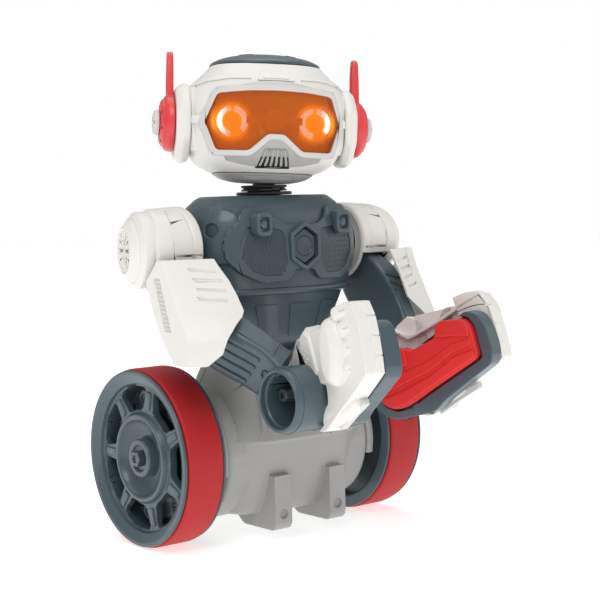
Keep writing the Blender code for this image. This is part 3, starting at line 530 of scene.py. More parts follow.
# brow, crown ridges, jaw
brow = [(-21.5, 225.9), (-17.5, 227.4), (-12.2, 228.8), (-6.0, 229.7), (0, 230.0), (6.0, 229.7), (12.2, 228.8), (17.5, 227.4), (21.5, 225.9), (14, 225.7), (0, 226.4), (-14, 225.7)]
emit("brow", turned(head_panel(brow, -0.5, 1.25)), "cream", "head", bevel=0.3)
bump = rounded([(-9.4, 230.2), (-7.4, 235.4), (7.4, 235.4), (9.4, 230.2)], 0.8, 3)
emit("crown_block", turned(head_panel(bump, -0.6, 1.3)), "white", "head", bevel=0.3)
bump2 = rounded([(-6.6, 231.2), (-5.8, 234.2), (5.8, 234.2), (6.6, 231.2)], 0.6, 3)
emit("crown_window", turned(head_panel(bump2, 0.8, 2.1)), "white", "head", bevel=0.25)
for sx in (1, -1):
    nm = "left" if sx > 0 else "right"
    rid = [(sx * 12.2, 230.9), (sx * 12.6, 232.9), (sx * 22, 233.0), (sx * 33, 231.4), (sx * 39, 229.2), (sx * 39, 227.6), (sx * 33, 229.5), (sx * 22, 231.0)]
    emit(f"crown_ridge_{nm}", turned(head_panel(rid, -0.5, 1.1)), "white", "head", bevel=0.25)
    strap = csg(head_solid(1.5), keep=[bm_box((sx * 33.5, -34, 209.2), (sx * 60, -1.0, 213.2))], cut=[head_solid(-0.6)])
    emit(f"temple_bar_{nm}", turned(strap), "white", "head", bevel=0.5, seg=3)
    cheek = csg(head_solid(0.9), keep=[bm_prism(rounded([(-22.5, 195.2), (-4.2, 197.0), (-4.2, 228.5), (-19.5, 228.5)], 2.0), sx * 30, sx * 60, YZ)], cut=[head_solid(-0.6), bm_prism(rounded(inset(visor_outline, -2.6), 3.0), -70, -15, XZ)])
    emit(f"cheek_{nm}", turned(cheek), "white", "head", bevel=0.35, seg=2)
jaw = rounded([(-24.6, 193.4), (-23.4, 190.8), (-14, 188.6), (0, 187.7), (14, 188.6), (23.4, 190.8), (24.6, 193.4), (13.5, 193.4), (4.3, 201.6), (-4.3, 201.6), (-13.5, 193.4)],
              [1, 1, 4, 4, 4, 1, 1, 1, 1, 1, 1], 3)
vent_o = [(-8.2, 188.0), (-5.6, 197.0), (5.6, 197.0), (8.2, 188.0)]
vent = rounded(vent_o, [0.8, 1.6, 1.6, 0.8], 3)
jaw_bm = csg(head_solid(1.7), keep=[bm_prism(jaw, -70, -8, XZ)], cut=[head_solid(-0.5), bm_prism(vent, -70, -8, XZ)])
emit("jaw_plate", turned(jaw_bm), "jaw", "head", bevel=0.3)
# painted shade: a black sheet under the jaw's vent stands for the dark inside behind it
emit("jaw_vent_painted_shade", turned(head_panel(rounded(inset(vent_o, -0.6), 1.0, 2), -0.3, 0.15)), "black", "head")
ribs = []
for i in range(6):
    t = (i - 2.5) / 2.5
    ribs.append(head_panel([(t * 6.6 - 0.62, 188.5), (t * 4.5 - 0.5, 196.6), (t * 4.5 + 0.5, 196.6), (t * 6.6 + 0.62, 188.5)], 0.0, 1.55))
emit("jaw_ribs", turned(join(*ribs)), "jaw", "head", bevel=0.2)
# inner nose pad inside the visor's notch
nose = rounded([(-3.4, 202.6), (-12.0, 194.9), (-12.0, 193.0), (12.0, 193.0), (12.0, 194.9), (3.4, 202.6)], 0.6, 2)
emit("nose_plate", turned(head_panel(nose, -0.4, 0.9)), "jaw", "head", bevel=0.2)

# crown cap: a dark domed disc with a broad shallow flute
cap_rows = smooth_rows([(239.65, 28.0), (240.3, 28.2), (241.4, 27.4), (243.4, 23.0), (245.2, 15.2), (246.2, 7.0), (246.6, 1.0)], 4)
cap = bm_loft([super_ring(a, a, VY, z, 2.3, 120) for z, a in cap_rows])
cap = csg(cap, cut=[bm_turn([(30.0, 252.0), (30.0, 244.4), (17.6, 244.4), (16.8, 245.0), (16.8, 252.0)], (0, VY, 0), "Z", 96)])
emit("crown_cap", turned(cap), "dark", "head", ["head_cap"], bevel=0.3)

# chin bowl with its shallow slot
bowl_rows = smooth_rows([(180.8, 12.5), (181.1, 15.5), (182.2, 20.5), (183.8, 24.0), (185.2, 26.0)], 4)
bowl = csg(bm_loft([super_ring(a, a, VY, z, 2.4, 96) for z, a in bowl_rows]),
           cut=[bm_cyl((0, 0, 170), (0, 0, 190), 7.0, 32), bm_prism(rounded([(-13, 182.2), (13, 182.2), (13, 183.9), (-13, 183.9)], 0.8), -40, -22.8, XZ)])
emit("chin", turned(bowl), "grey", "head", ["chin_bowl"], bevel=0.25)

# neck: stacked black rings
post = bm_turn([(0, 168), (8.6, 168), (8.6, 176.9), (11.9, 176.9), (12.0, 177.8), (10.9, 178.0), (10.9, 178.5), (12.0, 178.7), (11.9, 179.9), (5.9, 179.9), (5.9, 192), (0, 192)],
               (0, TORSO_Y, 0), "Z", 72, closed=False)
post = csg(post, cut=[bm_box((-3.0, TORSO_Y - 13, 176.5), (3.0, TORSO_Y - 10.4, 178.6)), bm_box((5.5, TORSO_Y - 13, 178.4), (9.5, TORSO_Y - 9, 180.2))])
emit("neck_rings", post, "black", "head", ["neck_post"], bevel=0.18)

# behind the lens; the back wall is painted a darker amber, painted shade for the dim inside of the head
board = csg(bm_loft([super_ring(32.4, 32.4, VY, z, 2.6, 64) for z in (195.4, 225.5)]), cut=[bm_loft([super_ring(31.6, 31.6, VY, z, 2.6, 64) for z in (190.0, 230.0)]), bm_box((-60, -14, 180), (60, 60, 240))])
emit("visor_back", turned(board), "amber_painted_shade", "head", ["eye_board"])
emit("eye_bridge", turned(join(bm_box((-14.0, -38.6, 208.9), (14.0, -37.6, 212.6)), bm_turn([(0, -39.6), (5.2, -39.6), (5.7, -39.1), (5.7, -36.0), (0, -36.0)], (0, 0, 210.8), "Y", 64, closed=False),
                                bm_box((-12.8, -37.6, 200.8), (-10.8, -36.6, 211)), bm_box((10.8, -37.6, 200.8), (12.8, -36.6, 211)), bm_box((-3.2, -37.4, 203.6), (3.2, -36.4, 209.0)))), "amber", "head", bevel=0.25)
for sx in (1, -1):
    nm = "left" if sx > 0 else "right"
    ex, ez = sx * 20.7, HEAD_Z + 0.0
    # two lit arcs of a broken ring
    arcs = []
    for a0, a1 in ((math.radians(-40), math.radians(80)), (math.radians(100), math.radians(260))):
        pr, n = [], 24
        for i in range(n + 1):
            a = a0 + (a1 - a0) * i / n
            pr.append((ex + 7.6 * math.cos(a), ez + 7.6 * math.sin(a)))
        for i in range(n, -1, -1):
            a = a0 + (a1 - a0) * i / n
            pr.append((ex + 5.1 * math.cos(a), ez + 5.1 * math.sin(a)))
        arcs.append(bm_prism(pr, -37.2, -34.6, XZ, 0.5, 0))
    emit(f"eye_ring_{nm}", turned(join(*arcs)), "eye", "head", [f"eye_{nm}"])


def halo_material(name, centre, r_in, r_out):
    """Warm light around an eye, fading with distance from the eye's middle (metres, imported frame)."""
    m = bpy.data.materials.new(name)
    m.use_nodes = True
    nt = m.node_tree
    n, l = nt.nodes, nt.links
    b = n["Principled BSDF"]
    geo = n.new("ShaderNodeTexCoord")
    sub = n.new("ShaderNodeVectorMath")
    sub.operation = "SUBTRACT"
    l.new(geo.outputs["Object"], sub.inputs[0])
    sub.inputs[1].default_value = centre
    ln = n.new("ShaderNodeVectorMath")
    ln.operation = "LENGTH"
    l.new(sub.outputs["Vector"], ln.inputs[0])
    mr = n.new("ShaderNodeMapRange")
    mr.inputs["From Min"].default_value = r_in
    mr.inputs["From Max"].default_value = r_out
    l.new(ln.outputs["Value"], mr.inputs["Value"])
    ramp = n.new("ShaderNodeValToRGB")
    ramp.color_ramp.elements[0].color = (*lin((1.0, 0.62, 0.02)), 1)
    ramp.color_ramp.elements[1].color = (*lin((0.80, 0.42, 0.12)), 1)
    e = ramp.color_ramp.elements.new(0.45)
    e.color = (*lin((0.98, 0.60, 0.04)), 1)
    l.new(mr.outputs["Result"], ramp.inputs["Fac"])
    l.new(ramp.outputs["Color"], b.inputs["Base Color"])
    l.new(ramp.outputs["Color"], b.inputs["Emission Color"])
    em = n.new("ShaderNodeMapRange")
    em.inputs["From Min"].default_value = r_in
    em.inputs["From Max"].default_value = r_out
    em.inputs["To Min"].default_value = 1.1
    em.inputs["To Max"].default_value = 0.0
    l.new(ln.outputs["Value"], em.inputs["Value"])
    l.new(em.outputs["Result"], b.inputs["Emission Strength"])
    al = n.new("ShaderNodeMapRange")
    al.inputs["From Min"].default_value = r_in
    al.inputs["From Max"].default_value = r_out
    al.inputs["To Min"].default_value = 1.0
    al.inputs["To Max"].default_value = 0.0
    l.new(ln.outputs["Value"], al.inputs["Value"])
    l.new(al.outputs["Result"], b.inputs["Alpha"])
    b.inputs["Roughness"].default_value = 0.5
    return m


for sx in (1, -1):
    nm = "left" if sx > 0 else "right"
    c = HEAD_PLACE @ Vector((sx * 20.7, -34.4, HEAD_Z))
    M[f"halo_{nm}"] = halo_material(f"robot_halo_{nm}", (c.x * S, c.y * S + FY, c.z * S), 0.0070, 0.0120)
    disc = bm_turn([(0, -34.5), (12.2, -34.5), (12.2, -34.1), (0, -34.1)], (sx * 20.7, 0, HEAD_Z), "Y", 64, closed=False)
    emit(f"eye_glow_{nm}", turned(disc), f"halo_{nm}", "head")
# painted reflections: pale slivers just behind the lens stand for the lights' glints on the visor
glint_slivers = [bm_prism([(-7.4, 203.4), (-7.2, 208.0), (-4.8, 205.6), (-3.4, 204.4), (-6.0, 202.2)], -38.0, -37.4, XZ),
          bm_prism([(-6.6, 201.0), (-2.2, 204.9), (-1.6, 204.5), (-6.0, 200.6)], -38.4, -37.9, XZ),
          bm_prism([(-14.4, 202.8), (-12.6, 204.0), (-13.0, 200.6)], -37.6, -37.0, XZ),
          bm_box((11.8, -38.2, 201.5), (12.4, -37.7, 206.4))]
emit("visor_glints", turned(join(*glint_slivers)), "painted_glint", "head")

# ears
for sx in (1, -1):
    nm = "left" if sx > 0 else "right"
    oct_ = lambda r, rr: rounded([(r * math.cos(math.pi / 8 + math.pi / 4 * i) / math.cos(math.pi / 8), r * math.sin(math.pi / 8 + math.pi / 4 * i) / math.cos(math.pi / 8)) for i in range(8)], rr, 4)
    pl = lambda u, v, w: (sx * w, u + VY, v + HEAD_Z)
    rings = []
    for d, r in ((39.4, 18.6), (40.0, 19.5), (42.2, 20.0), (43.2, 19.7), (44.8, 18.6), (45.8, 17.6), (46.3, 16.6), (46.4, 15.6)):
        rings.append([pl(u, v, d) for u, v in oct_(r, 3.0)])
    ring = csg(bm_loft(rings), cut=[bm_cyl((sx * 30, VY, HEAD_Z), (sx * 60, VY, HEAD_Z), 9.0, 40)])
    emit(f"ear_housing_{nm}", turned(ring), "white", "head", [f"ear_ring_{nm}"], bevel=0.35, seg=2)
    prof = [(3.4, 46.8), (14.2, 46.8), (14.7, 47.4), (14.6, 49.0), (14.0, 50.6), (13.1, 51.5), (12.7, 51.3), (12.4, 51.5), (12.0, 52.4), (10.8, 53.2), (9.6, 53.6), (8.8, 53.3), (8.4, 53.6), (3.4, 53.6)]
    disc = bm_turn([(r, sx * a) for r, a in prof], (0, VY, HEAD_Z), "X", 96)
    notches = []
    for i in range(8):
        a = math.pi / 4 * i + 0.3
        notches.append(bm_cyl((sx * 51.8, VY + 10.4 * math.cos(a), HEAD_Z + 10.4 * math.sin(a)), (sx * 55, VY + 10.4 * math.cos(a), HEAD_Z + 10.4 * math.sin(a)), 0.75, 12))
    loop = rounded([(-5.0, 6.0), (-1.2, 27.0), (1.2, 34.4), (4.6, 37.2), (7.6, 35.4), (8.6, 28.0), (7.0, 6.0)], [0, 3, 3, 3, 3, 3, 0], 5)
    slot = rounded([(-0.6, 15.5), (2.0, 28.0), (3.6, 33.4), (5.0, 33.9), (6.1, 28.0), (4.6, 15.5)], [1.4, 2, 1.5, 1.5, 2, 1.4], 4)
    upl = lambda u, v, w: (sx * w, u + VY, v + HEAD_Z)
    ant = csg(disc, add=[bm_prism(loop, 46.9, 50.0, upl, 0.7, 0.7)], cut=[bm_prism(slot, 40, 60, upl)] + notches)
    emit(f"ear_antenna_{nm}", turned(ant), "ear", f"antenna_{nm}", [f"antenna_{nm}"], bevel=0.3, seg=2)
    capp = [(0, 30.0), (3.0, 30.0), (3.0, 53.9), (6.2, 53.9), (6.5, 54.4), (6.4, 55.8), (5.9, 56.5), (5.2, 56.8), (4.9, 56.5), (4.3, 56.5), (4.0, 57.1), (0, 57.4)]
    capm = bm_turn([(r, sx * a) for r, a in capp], (0, VY, HEAD_Z), "X", 48, closed=False)
    cuts = [bm_box((sx * 56.3, VY - 6, HEAD_Z - 0.5), (sx * 59, VY + 6, HEAD_Z + 0.5))]
    emit(f"ear_knob_{nm}", turned(csg(capm, cut=cuts)), "cream", "head", [f"ear_cap_{nm}"], bevel=0.2)
# ------------------------------------------------------------------ torso
TORSO = [(125.0, 43.5, 30, 29.5), (129, 45.5, 31.5, 30.2), (150, 47.0, 32, 29.4), (162, 46.0, 31, 27.6), (169, 42.5, 28, 24.6), (174.5, 36, 22, 19)]
TORSO_V = [(125.0, 43.0, 29.6, 29.0), (125.5, 43.9, 30.2, 29.8), (126.6, 44.6, 30.8, 30.1)] + smooth_rows(TORSO[1:5], 3)[:-1] + [(169, 42.5, 28, 24.6), (172.2, 39.0, 24.9, 21.6), (173.8, 36.9, 22.8, 19.9), (174.5, 35.2, 21.2, 18.3)]
TORSO_CAV = [(123.0, 40.5, 27, 26.5), (129, 43.0, 29, 27.7), (150, 44.5, 29.5, 26.9), (162, 43.5, 28.5, 25.1), (168, 40, 25.5, 22.1), (172.0, 34, 19.5, 16.5)]


def t_loft(rows, d=0.0, seg=144, n=2.7):
    return bm_loft([super_ring(a + d, b + d, TORSO_Y, z, n, seg, bf=bf + d) for z, a, b, bf in rows])


def t_over(d, z0=100.0):
    """Torso surface moved out by d, carried on below and above."""
    rows = [(z0, *TORSO_V[0][1:])] + TORSO_V[1:] + [(178.0, 30, 16, 13)]
    return t_loft(rows, d)


def t_panel(outline, d0, d1, far=-70, near=-12, place=XZ):
    return csg(t_over(d1), keep=[bm_prism(outline, far, near, place)], cut=[t_over(d0)])


HEXB = lambda s: [(u * s * 0.806, v * s + 148.5) for u, v in ((0, 1), (0.93, 0.52), (0.93, -0.52), (0, -1), (-0.93, -0.52), (-0.93, 0.52))]
neck_hole = lambda: bm_cyl((0, TORSO_Y, 165), (0, TORSO_Y, 190), 9.0, 48)
sock = lambda: bm_cyl((-60, SHOULDER_Y, SHOULDER_Z), (60, SHOULDER_Y, SHOULDER_Z), 9.4, 48)
deck_slot = lambda: [bm_prism(rounded([(sx * 17, -24), (sx * 27, -22), (sx * 27, -4), (sx * 17, -2)], 1.6, 3), 173.7, 178, XY) for sx in (1, -1)]
# bead along the torso's lower edge
bead = csg(t_loft([(124.6, 43.4, 30.0, 29.6), (125.2, 44.9, 31.4, 31.0), (126.4, 45.7, 32.0, 31.7), (127.6, 45.5, 31.9, 31.4), (128.3, 44.6, 31.0, 30.2)], 0.0),
           cut=[t_loft([(120, 42, 28.6, 28.2), (130, 43.8, 30, 28.8)], 0)])
front_t = csg(t_loft(TORSO_V), cut=[t_loft(TORSO_CAV, 0, 72), bm_box((-HALL, -2.15, 90), (HALL, HALL, 200)), neck_hole(), sock(), bm_prism(HEXB(9.8), -60, -30, XZ)] + deck_slot())
emit("torso_front", front_t, "dark", "root", ["torso_front_shell"], bevel=0.35, seg=2, angle=40)
emit("torso_bead", bead, "dark", "root", bevel=0.25)
cuts = [t_loft(TORSO_CAV, 0, 72), bm_box((-HALL, -HALL, 90), (HALL, -1.85, 200)), neck_hole(), sock()]
rear_t = csg(t_loft(TORSO_V), cut=cuts)
slots_t = [bm_box((-18.5, 8, 136.4 + i * 3.3), (18.5, 60, 137.9 + i * 3.3)) for i in range(9)]
rear_t = csg(rear_t, cut=[join(*slots_t)])
emit("torso_rear", rear_t, "dark", "root", ["torso_rear_shell"], bevel=0.35, seg=2, angle=40)
gr = rounded([(-24.5, 133.2), (24.5, 133.2), (24.5, 167.5), (-24.5, 167.5)], 4.5, 5)
grille = csg(csg(t_over(1.2), keep=[bm_prism(gr, 8, 70, XZ)], cut=[t_over(-0.3)]), cut=[bm_prism(inset(gr, 2.2), 5, 80, XZ)])
emit("speaker_grille_rim", grille, "dark", "root", bevel=0.3)
emit("torso_rear_screws", join(*[bm_screw((x, 17.2, z), (x * 0.012, 1, 0), 2.0, 0.9) for x in (-30.5, 30.5) for z in (134.0, 160.5)]), "screw", "root")
# deck on top: a raised ring round the neck
emit("neck_bearing", bm_turn([(9.4, 174.9), (14.2, 174.9), (14.5, 175.2), (14.5, 176.1), (14.1, 176.5), (9.9, 176.5), (9.4, 176.2)], (0, TORSO_Y, 0), "Z", 96), "black", "root", ["neck_collar"])

# chest plate: raised rim, perforated fields, pocket for the button
CHEST = [(0, 137.5), (6, 137.0), (9.5, 131.5), (25.5, 131.0), (36, 136), (42, 143.0), (43.0, 150), (41, 157), (36, 161), (32, 168.5), (19.0, 168.5), (16.0, 162.5), (10.0, 159.5), (0, 159.5)]
chest_o = CHEST + [(-x, z) for x, z in reversed(CHEST[1:-1])]
chest_r = rounded(chest_o, 2.6, 4)
plate = t_panel(chest_r, 0.35, 2.6)
zone = lambda sx: rounded([(sx * x, z) for x, z in ((13.2, 157.2), (31.0, 159.4), (35.6, 151.8), (35.6, 144.6), (30.5, 137.4), (25.0, 134.6), (14.0, 134.4), (10.6, 141.0), (10.6, 153.5))], 2.2, 4)
cuts = [bm_prism(HEXB(10.1), -70, -30, XZ)]
for sx in (1, -1):
    cuts.append(csg(t_over(4.0), keep=[bm_prism(zone(sx), -70, -12, XZ)], cut=[t_over(1.55)]))
plate = csg(plate, cut=cuts)
dots = []
for row, (z, x0, x1) in enumerate(((152.6, 17.5, 33.5), (150.1, 16.3, 34.8), (147.6, 15.2, 35.0), (145.1, 14.2, 34.4), (142.6, 14.0, 33.2), (140.0, 14.0, 31.4), (137.4, 15.2, 27.0))):
    n = max(2, int(round((x1 - x0) / 2.45)) + 1)
    for sx in (1, -1):
        for i in range(n):
            x = sx * (x1 - (x1 - x0) * i / (n - 1))
            dots.append(bm_cyl((x, -60, z), (x, -34, z), 0.62, 8))
            dots[-1].verts.ensure_lookup_table()
dot_tool = join(*dots)
field = csg(t_over(1.75), keep=[bm_prism(inset(zone(1), 0.35), -70, -12, XZ)], cut=[t_over(0.6)])
field2 = csg(t_over(1.75), keep=[bm_prism(inset(zone(-1), 0.35), -70, -12, XZ)], cut=[t_over(0.6)])
emit("chest_cover", plate, "dark", "root", ["chest_plate"], bevel=0.45, seg=3, angle=40)
emit("chest_grille_left", csg(field, cut=[dot_tool.copy()]), "dark2", "root")
emit("chest_grille_right", csg(field2, cut=[dot_tool]), "dark2", "root")
emit("chest_inner", csg(t_over(0.55), keep=[bm_prism(inset(chest_r, 1.4), -70, -12, XZ)], cut=[t_over(0.36), bm_prism(HEXB(10.1), -70, -30, XZ)]), "black", "root")
# button: hexagonal, dished, in its own ring
ring = csg(bm_prism(rounded(HEXB(12.6), 1.2, 4), -45.0, -41.0, XZ, 0.7, 0), cut=[bm_prism(rounded(HEXB(10.2), 1.0, 4), -60, -30, XZ)])
emit("button_bezel", ring, "dark", "root", bevel=0.25)
cap = csg(bm_prism(rounded(HEXB(9.2), 1.0, 4), -43.4, -35.9, XZ, 0.8, 0), cut=[bm_turn([(0, -60), (5.2, -60), (5.2, -43.3), (4.6, -42.7), (0, -42.5)], (0, 0, 148.5), "Y", 64, closed=False)])
emit("chest_button", cap, "dark2", "start_button", ["start_button"], bevel=0.2)

# clasps: a lever over the deck's edge, a cup with a screw
for sx in (1, -1):
    nm = "left" if sx > 0 else "right"
    a, b = sorted((sx * 22.0, sx * 29.0))
    lever_o = rounded([(-43.2, 160.0), (-43.0, 166.8), (-37.4, 173.2), (-31.0, 176.6), (-27.0, 176.6), (-27.0, 174.9), (-31.4, 174.9), (-35.6, 171.6), (-40.6, 164.0), (-40.8, 160.0)],
                      [0.1, 2.5, 3, 2.5, 0.6, 0.3, 2.0, 2.0, 1.0, 0.1], 4)
    lever = bm_prism(lever_o, a, b, YZ, 0.8, 0.8)
    cup_o = rounded([(20.8, 156.0), (22.6, 154.0), (28.4, 154.0), (30.2, 156.0), (30.2, 164.0), (28.4, 166.0), (22.6, 166.0), (20.8, 164.0)], 1.2, 4)
    cup_o = [(sx * x, z) for x, z in cup_o]
    cup = csg(bm_prism(cup_o, -44.8, -36.0, XZ, 0.9, 0),
              cut=[bm_prism(rounded([(sx * x, z) for x, z in ((22.7, 156.4), (28.3, 156.4), (28.3, 163.6), (22.7, 163.6))], 1.4, 4), -60, -42.6, XZ), t_over(2.75)])
    lever = csg(lever, cut=[t_over(2.75), bm_prism(rounded([(sx * 23.4, -40), (sx * 27.6, -40), (sx * 27.6, -34.6), (sx * 23.4, -34.6)], 1.0, 3), 168, 180, XY),
                            bm_prism(rounded([(sx * 24.4, -33.4), (sx * 26.6, -33.4), (sx * 26.6, -29.0), (sx * 24.4, -29.0)], 0.8, 3), 176.0, 180, XY)])
    emit(f"clasp_{nm}", join(cup, lever), "dark", "root", [f"chest_clasp_{nm}"], bevel=0.3, seg=2)
    emit(f"clasp_screw_{nm}", bm_screw((sx * 25.5, -42.8, 160.0), (0, -1, 0), 2.2, 1.1, "hex"), "screw", "root")
    # side flange with a round recess, between the plate and the shoulder
    fl = rounded([(-36.5, 141.0), (-38.0, 158.5), (-32.0, 167.0), (-19.0, 170.2), (-13.0, 167.5), (-13.0, 141.0)], 3.0, 4)
    flange = csg(t_over(1.9), keep=[bm_prism(fl, sx * 30, sx * 60, YZ)], cut=[t_over(0.3), bm_cyl((sx * 30, -26.0, 157.7), (sx * 60, -26.0, 157.7), 3.4, 40)])
    emit(f"torso_flange_{nm}", flange, "dark", "root", bevel=0.45, seg=3)
    emit(f"flange_plug_{nm}", csg(t_over(0.7), keep=[bm_cyl((sx * 30, -26.0, 157.7), (sx * 60, -26.0, 157.7), 3.2, 32)], cut=[t_over(0.1)]), "dark2", "root", bevel=0.15)

# waist cone with raised facets
WAIST = smooth_rows([(94.0, 24, 20, 20), (99, 27.4, 22.2, 22.2), (104, 30.5, 24, 24), (110, 33.9, 25.5, 25.5), (116, 37.0, 27, 27.0), (124.7, 41.0, 29, 28.6)], 3)
WAIST_IN = [(93.0, 21.8, 17.8, 17.8), (104, 28.3, 21.8, 21.8), (116, 34.8, 24.8, 24.8), (126.0, 38.8, 26.8, 26.3)]
emit("waist_cone", csg(t_loft(WAIST), cut=[t_loft(WAIST_IN, 0, 72)]), "dark", "root", ["waist_shell"], bevel=0.3)
for i, (x0, x1, far, near) in enumerate(((-31, -17, -70, -12), (-8, 8, -70, -12), (17, 31, -70, -12), (-31, -17, -10, 60), (-8, 8, -10, 60), (17, 31, -10, 60))):
    xa, xb = x0 * 0.84, x1 * 0.84
    o = rounded([(xa * 0.80, 103.0), (xb * 0.80, 103.0), (xb, 119.5), (xa, 119.5)], 1.2, 3)
    pnl = csg(t_loft(WAIST, 0.7), keep=[bm_prism(o, far, near, XZ)], cut=[t_loft(WAIST, -0.3)])
    emit(f"waist_facet_{i + 1}", pnl, "dark", "root", bevel=0.25)
emit("waist_ring", bm_turn([(21.5, 93.9), (25.8, 93.9), (26.2, 94.6), (26.0, 95.6), (24.8, 96.2), (21.5, 96.2)], (0, TORSO_Y, 0), "Z", 96), "dark2", "root")
# ------------------------------------------------------------------ shoulders
ARM = [
    ((57.5, -25.5, 142.0), (67.0, -25.5, 142.0), (67.0, 3.0, 142.0), (57.5, 3.0, 142.0)),
    ((55.0, -38.0, 134.5), (68.0, -38.5, 134.0), (67.6, -4.0, 124.0), (55.6, -4.0, 124.0)),
    ((53.0, -49.5, 125.5), (66.0, -48.5, 121.0), (66.0, -24.0, 103.0), (51.0, -22.0, 106.0)),
    ((49.0, -59.0, 117.5), (60.0, -61.0, 109.5), (59.0, -40.0, 91.5), (47.0, -36.0, 96.0)),
    ((43.0, -69.0, 109.0), (53.0, -75.5, 101.5), (52.5, -56.0, 83.5), (42.5, -52.0, 88.0)),
    ((37.6, -79.0, 101.0), (50.5, -85.0, 94.0), (50.5, -73.0, 77.0), (37.6, -70.0, 82.0)),
]


def section(q, ins=0.0, rear=0.0, r=3.0, seg=4):
    """One cross-section of the arm as a ring of points: a quadrilateral with rounded corners, drawn in by ins."""
    A, B, C, D = (Vector(p) for p in q)
    u, v = (B - A).normalized(), (D - A).normalized()
    A2, B2 = A + u * ins + v * ins, B - u * ins + v * ins
    C2, D2 = C - u * ins + v * rear, D + u * ins + v * rear
    pts = [A2, B2, C2, D2]
    out = []
    for i in range(4):
        p0, p1, p2 = pts[i - 1], pts[i], pts[(i + 1) % 4]
        a, b = p0 - p1, p2 - p1
        t = min(r, 0.4 * a.length, 0.4 * b.length)
        q0, q1 = p1 + a.normalized() * t, p1 + b.normalized() * t
        for s in range(seg + 1):
            w = s / seg
            out.append(q0 * (1 - w) ** 2 + p1 * 2 * w * (1 - w) + q1 * w * w)
    return out


def sub_rows(rows, sub=4):
    flat = [tuple(c for p in ring for c in p) for ring in rows]
    out = []
    for f in smooth_rows(flat, sub):
        out.append([Vector(f[i:i + 3]) for i in range(0, len(f), 3)])
    return out


def arm_loft(k, ins=0.0, rear=0.0, r=3.0, rows=ARM, sub=4):
    rings = sub_rows([section(q, ins, rear, r) for q in rows], sub)
    rings = [[(k * p.x, p.y, p.z) for p in ring] for ring in rings]
    return bm_loft(rings)


def arm_point(t, su, sv, out=0.0):
    """Point on the arm's outline: t along it (0..5), su across the front edge to the outer edge, sv from the front to the rear."""
    i = min(4, int(t))
    f = t - i
    q = [Vector(a).lerp(Vector(b), f) for a, b in zip(ARM[i], ARM[i + 1])]
    return q[0].lerp(q[1], su).lerp(q[3].lerp(q[2], su), sv)


def strip(k, path, width, height, normal):
    """Raised rib along a path of points, lifted along normal."""
    rings = []
    n = Vector(normal).normalized()
    for i, p in enumerate(path):
        d = (path[min(i + 1, len(path) - 1)] - path[max(i - 1, 0)]).normalized()
        s = d.cross(n).normalized() * width / 2
        h = n * height
        b = n * -0.6
        rings.append([(k * q.x, q.y, q.z) for q in (p + s + b, p + s + h * 0.6, p + s * 0.55 + h, p - s * 0.55 + h, p - s + h * 0.6, p - s + b)])
    return bm_loft(rings)


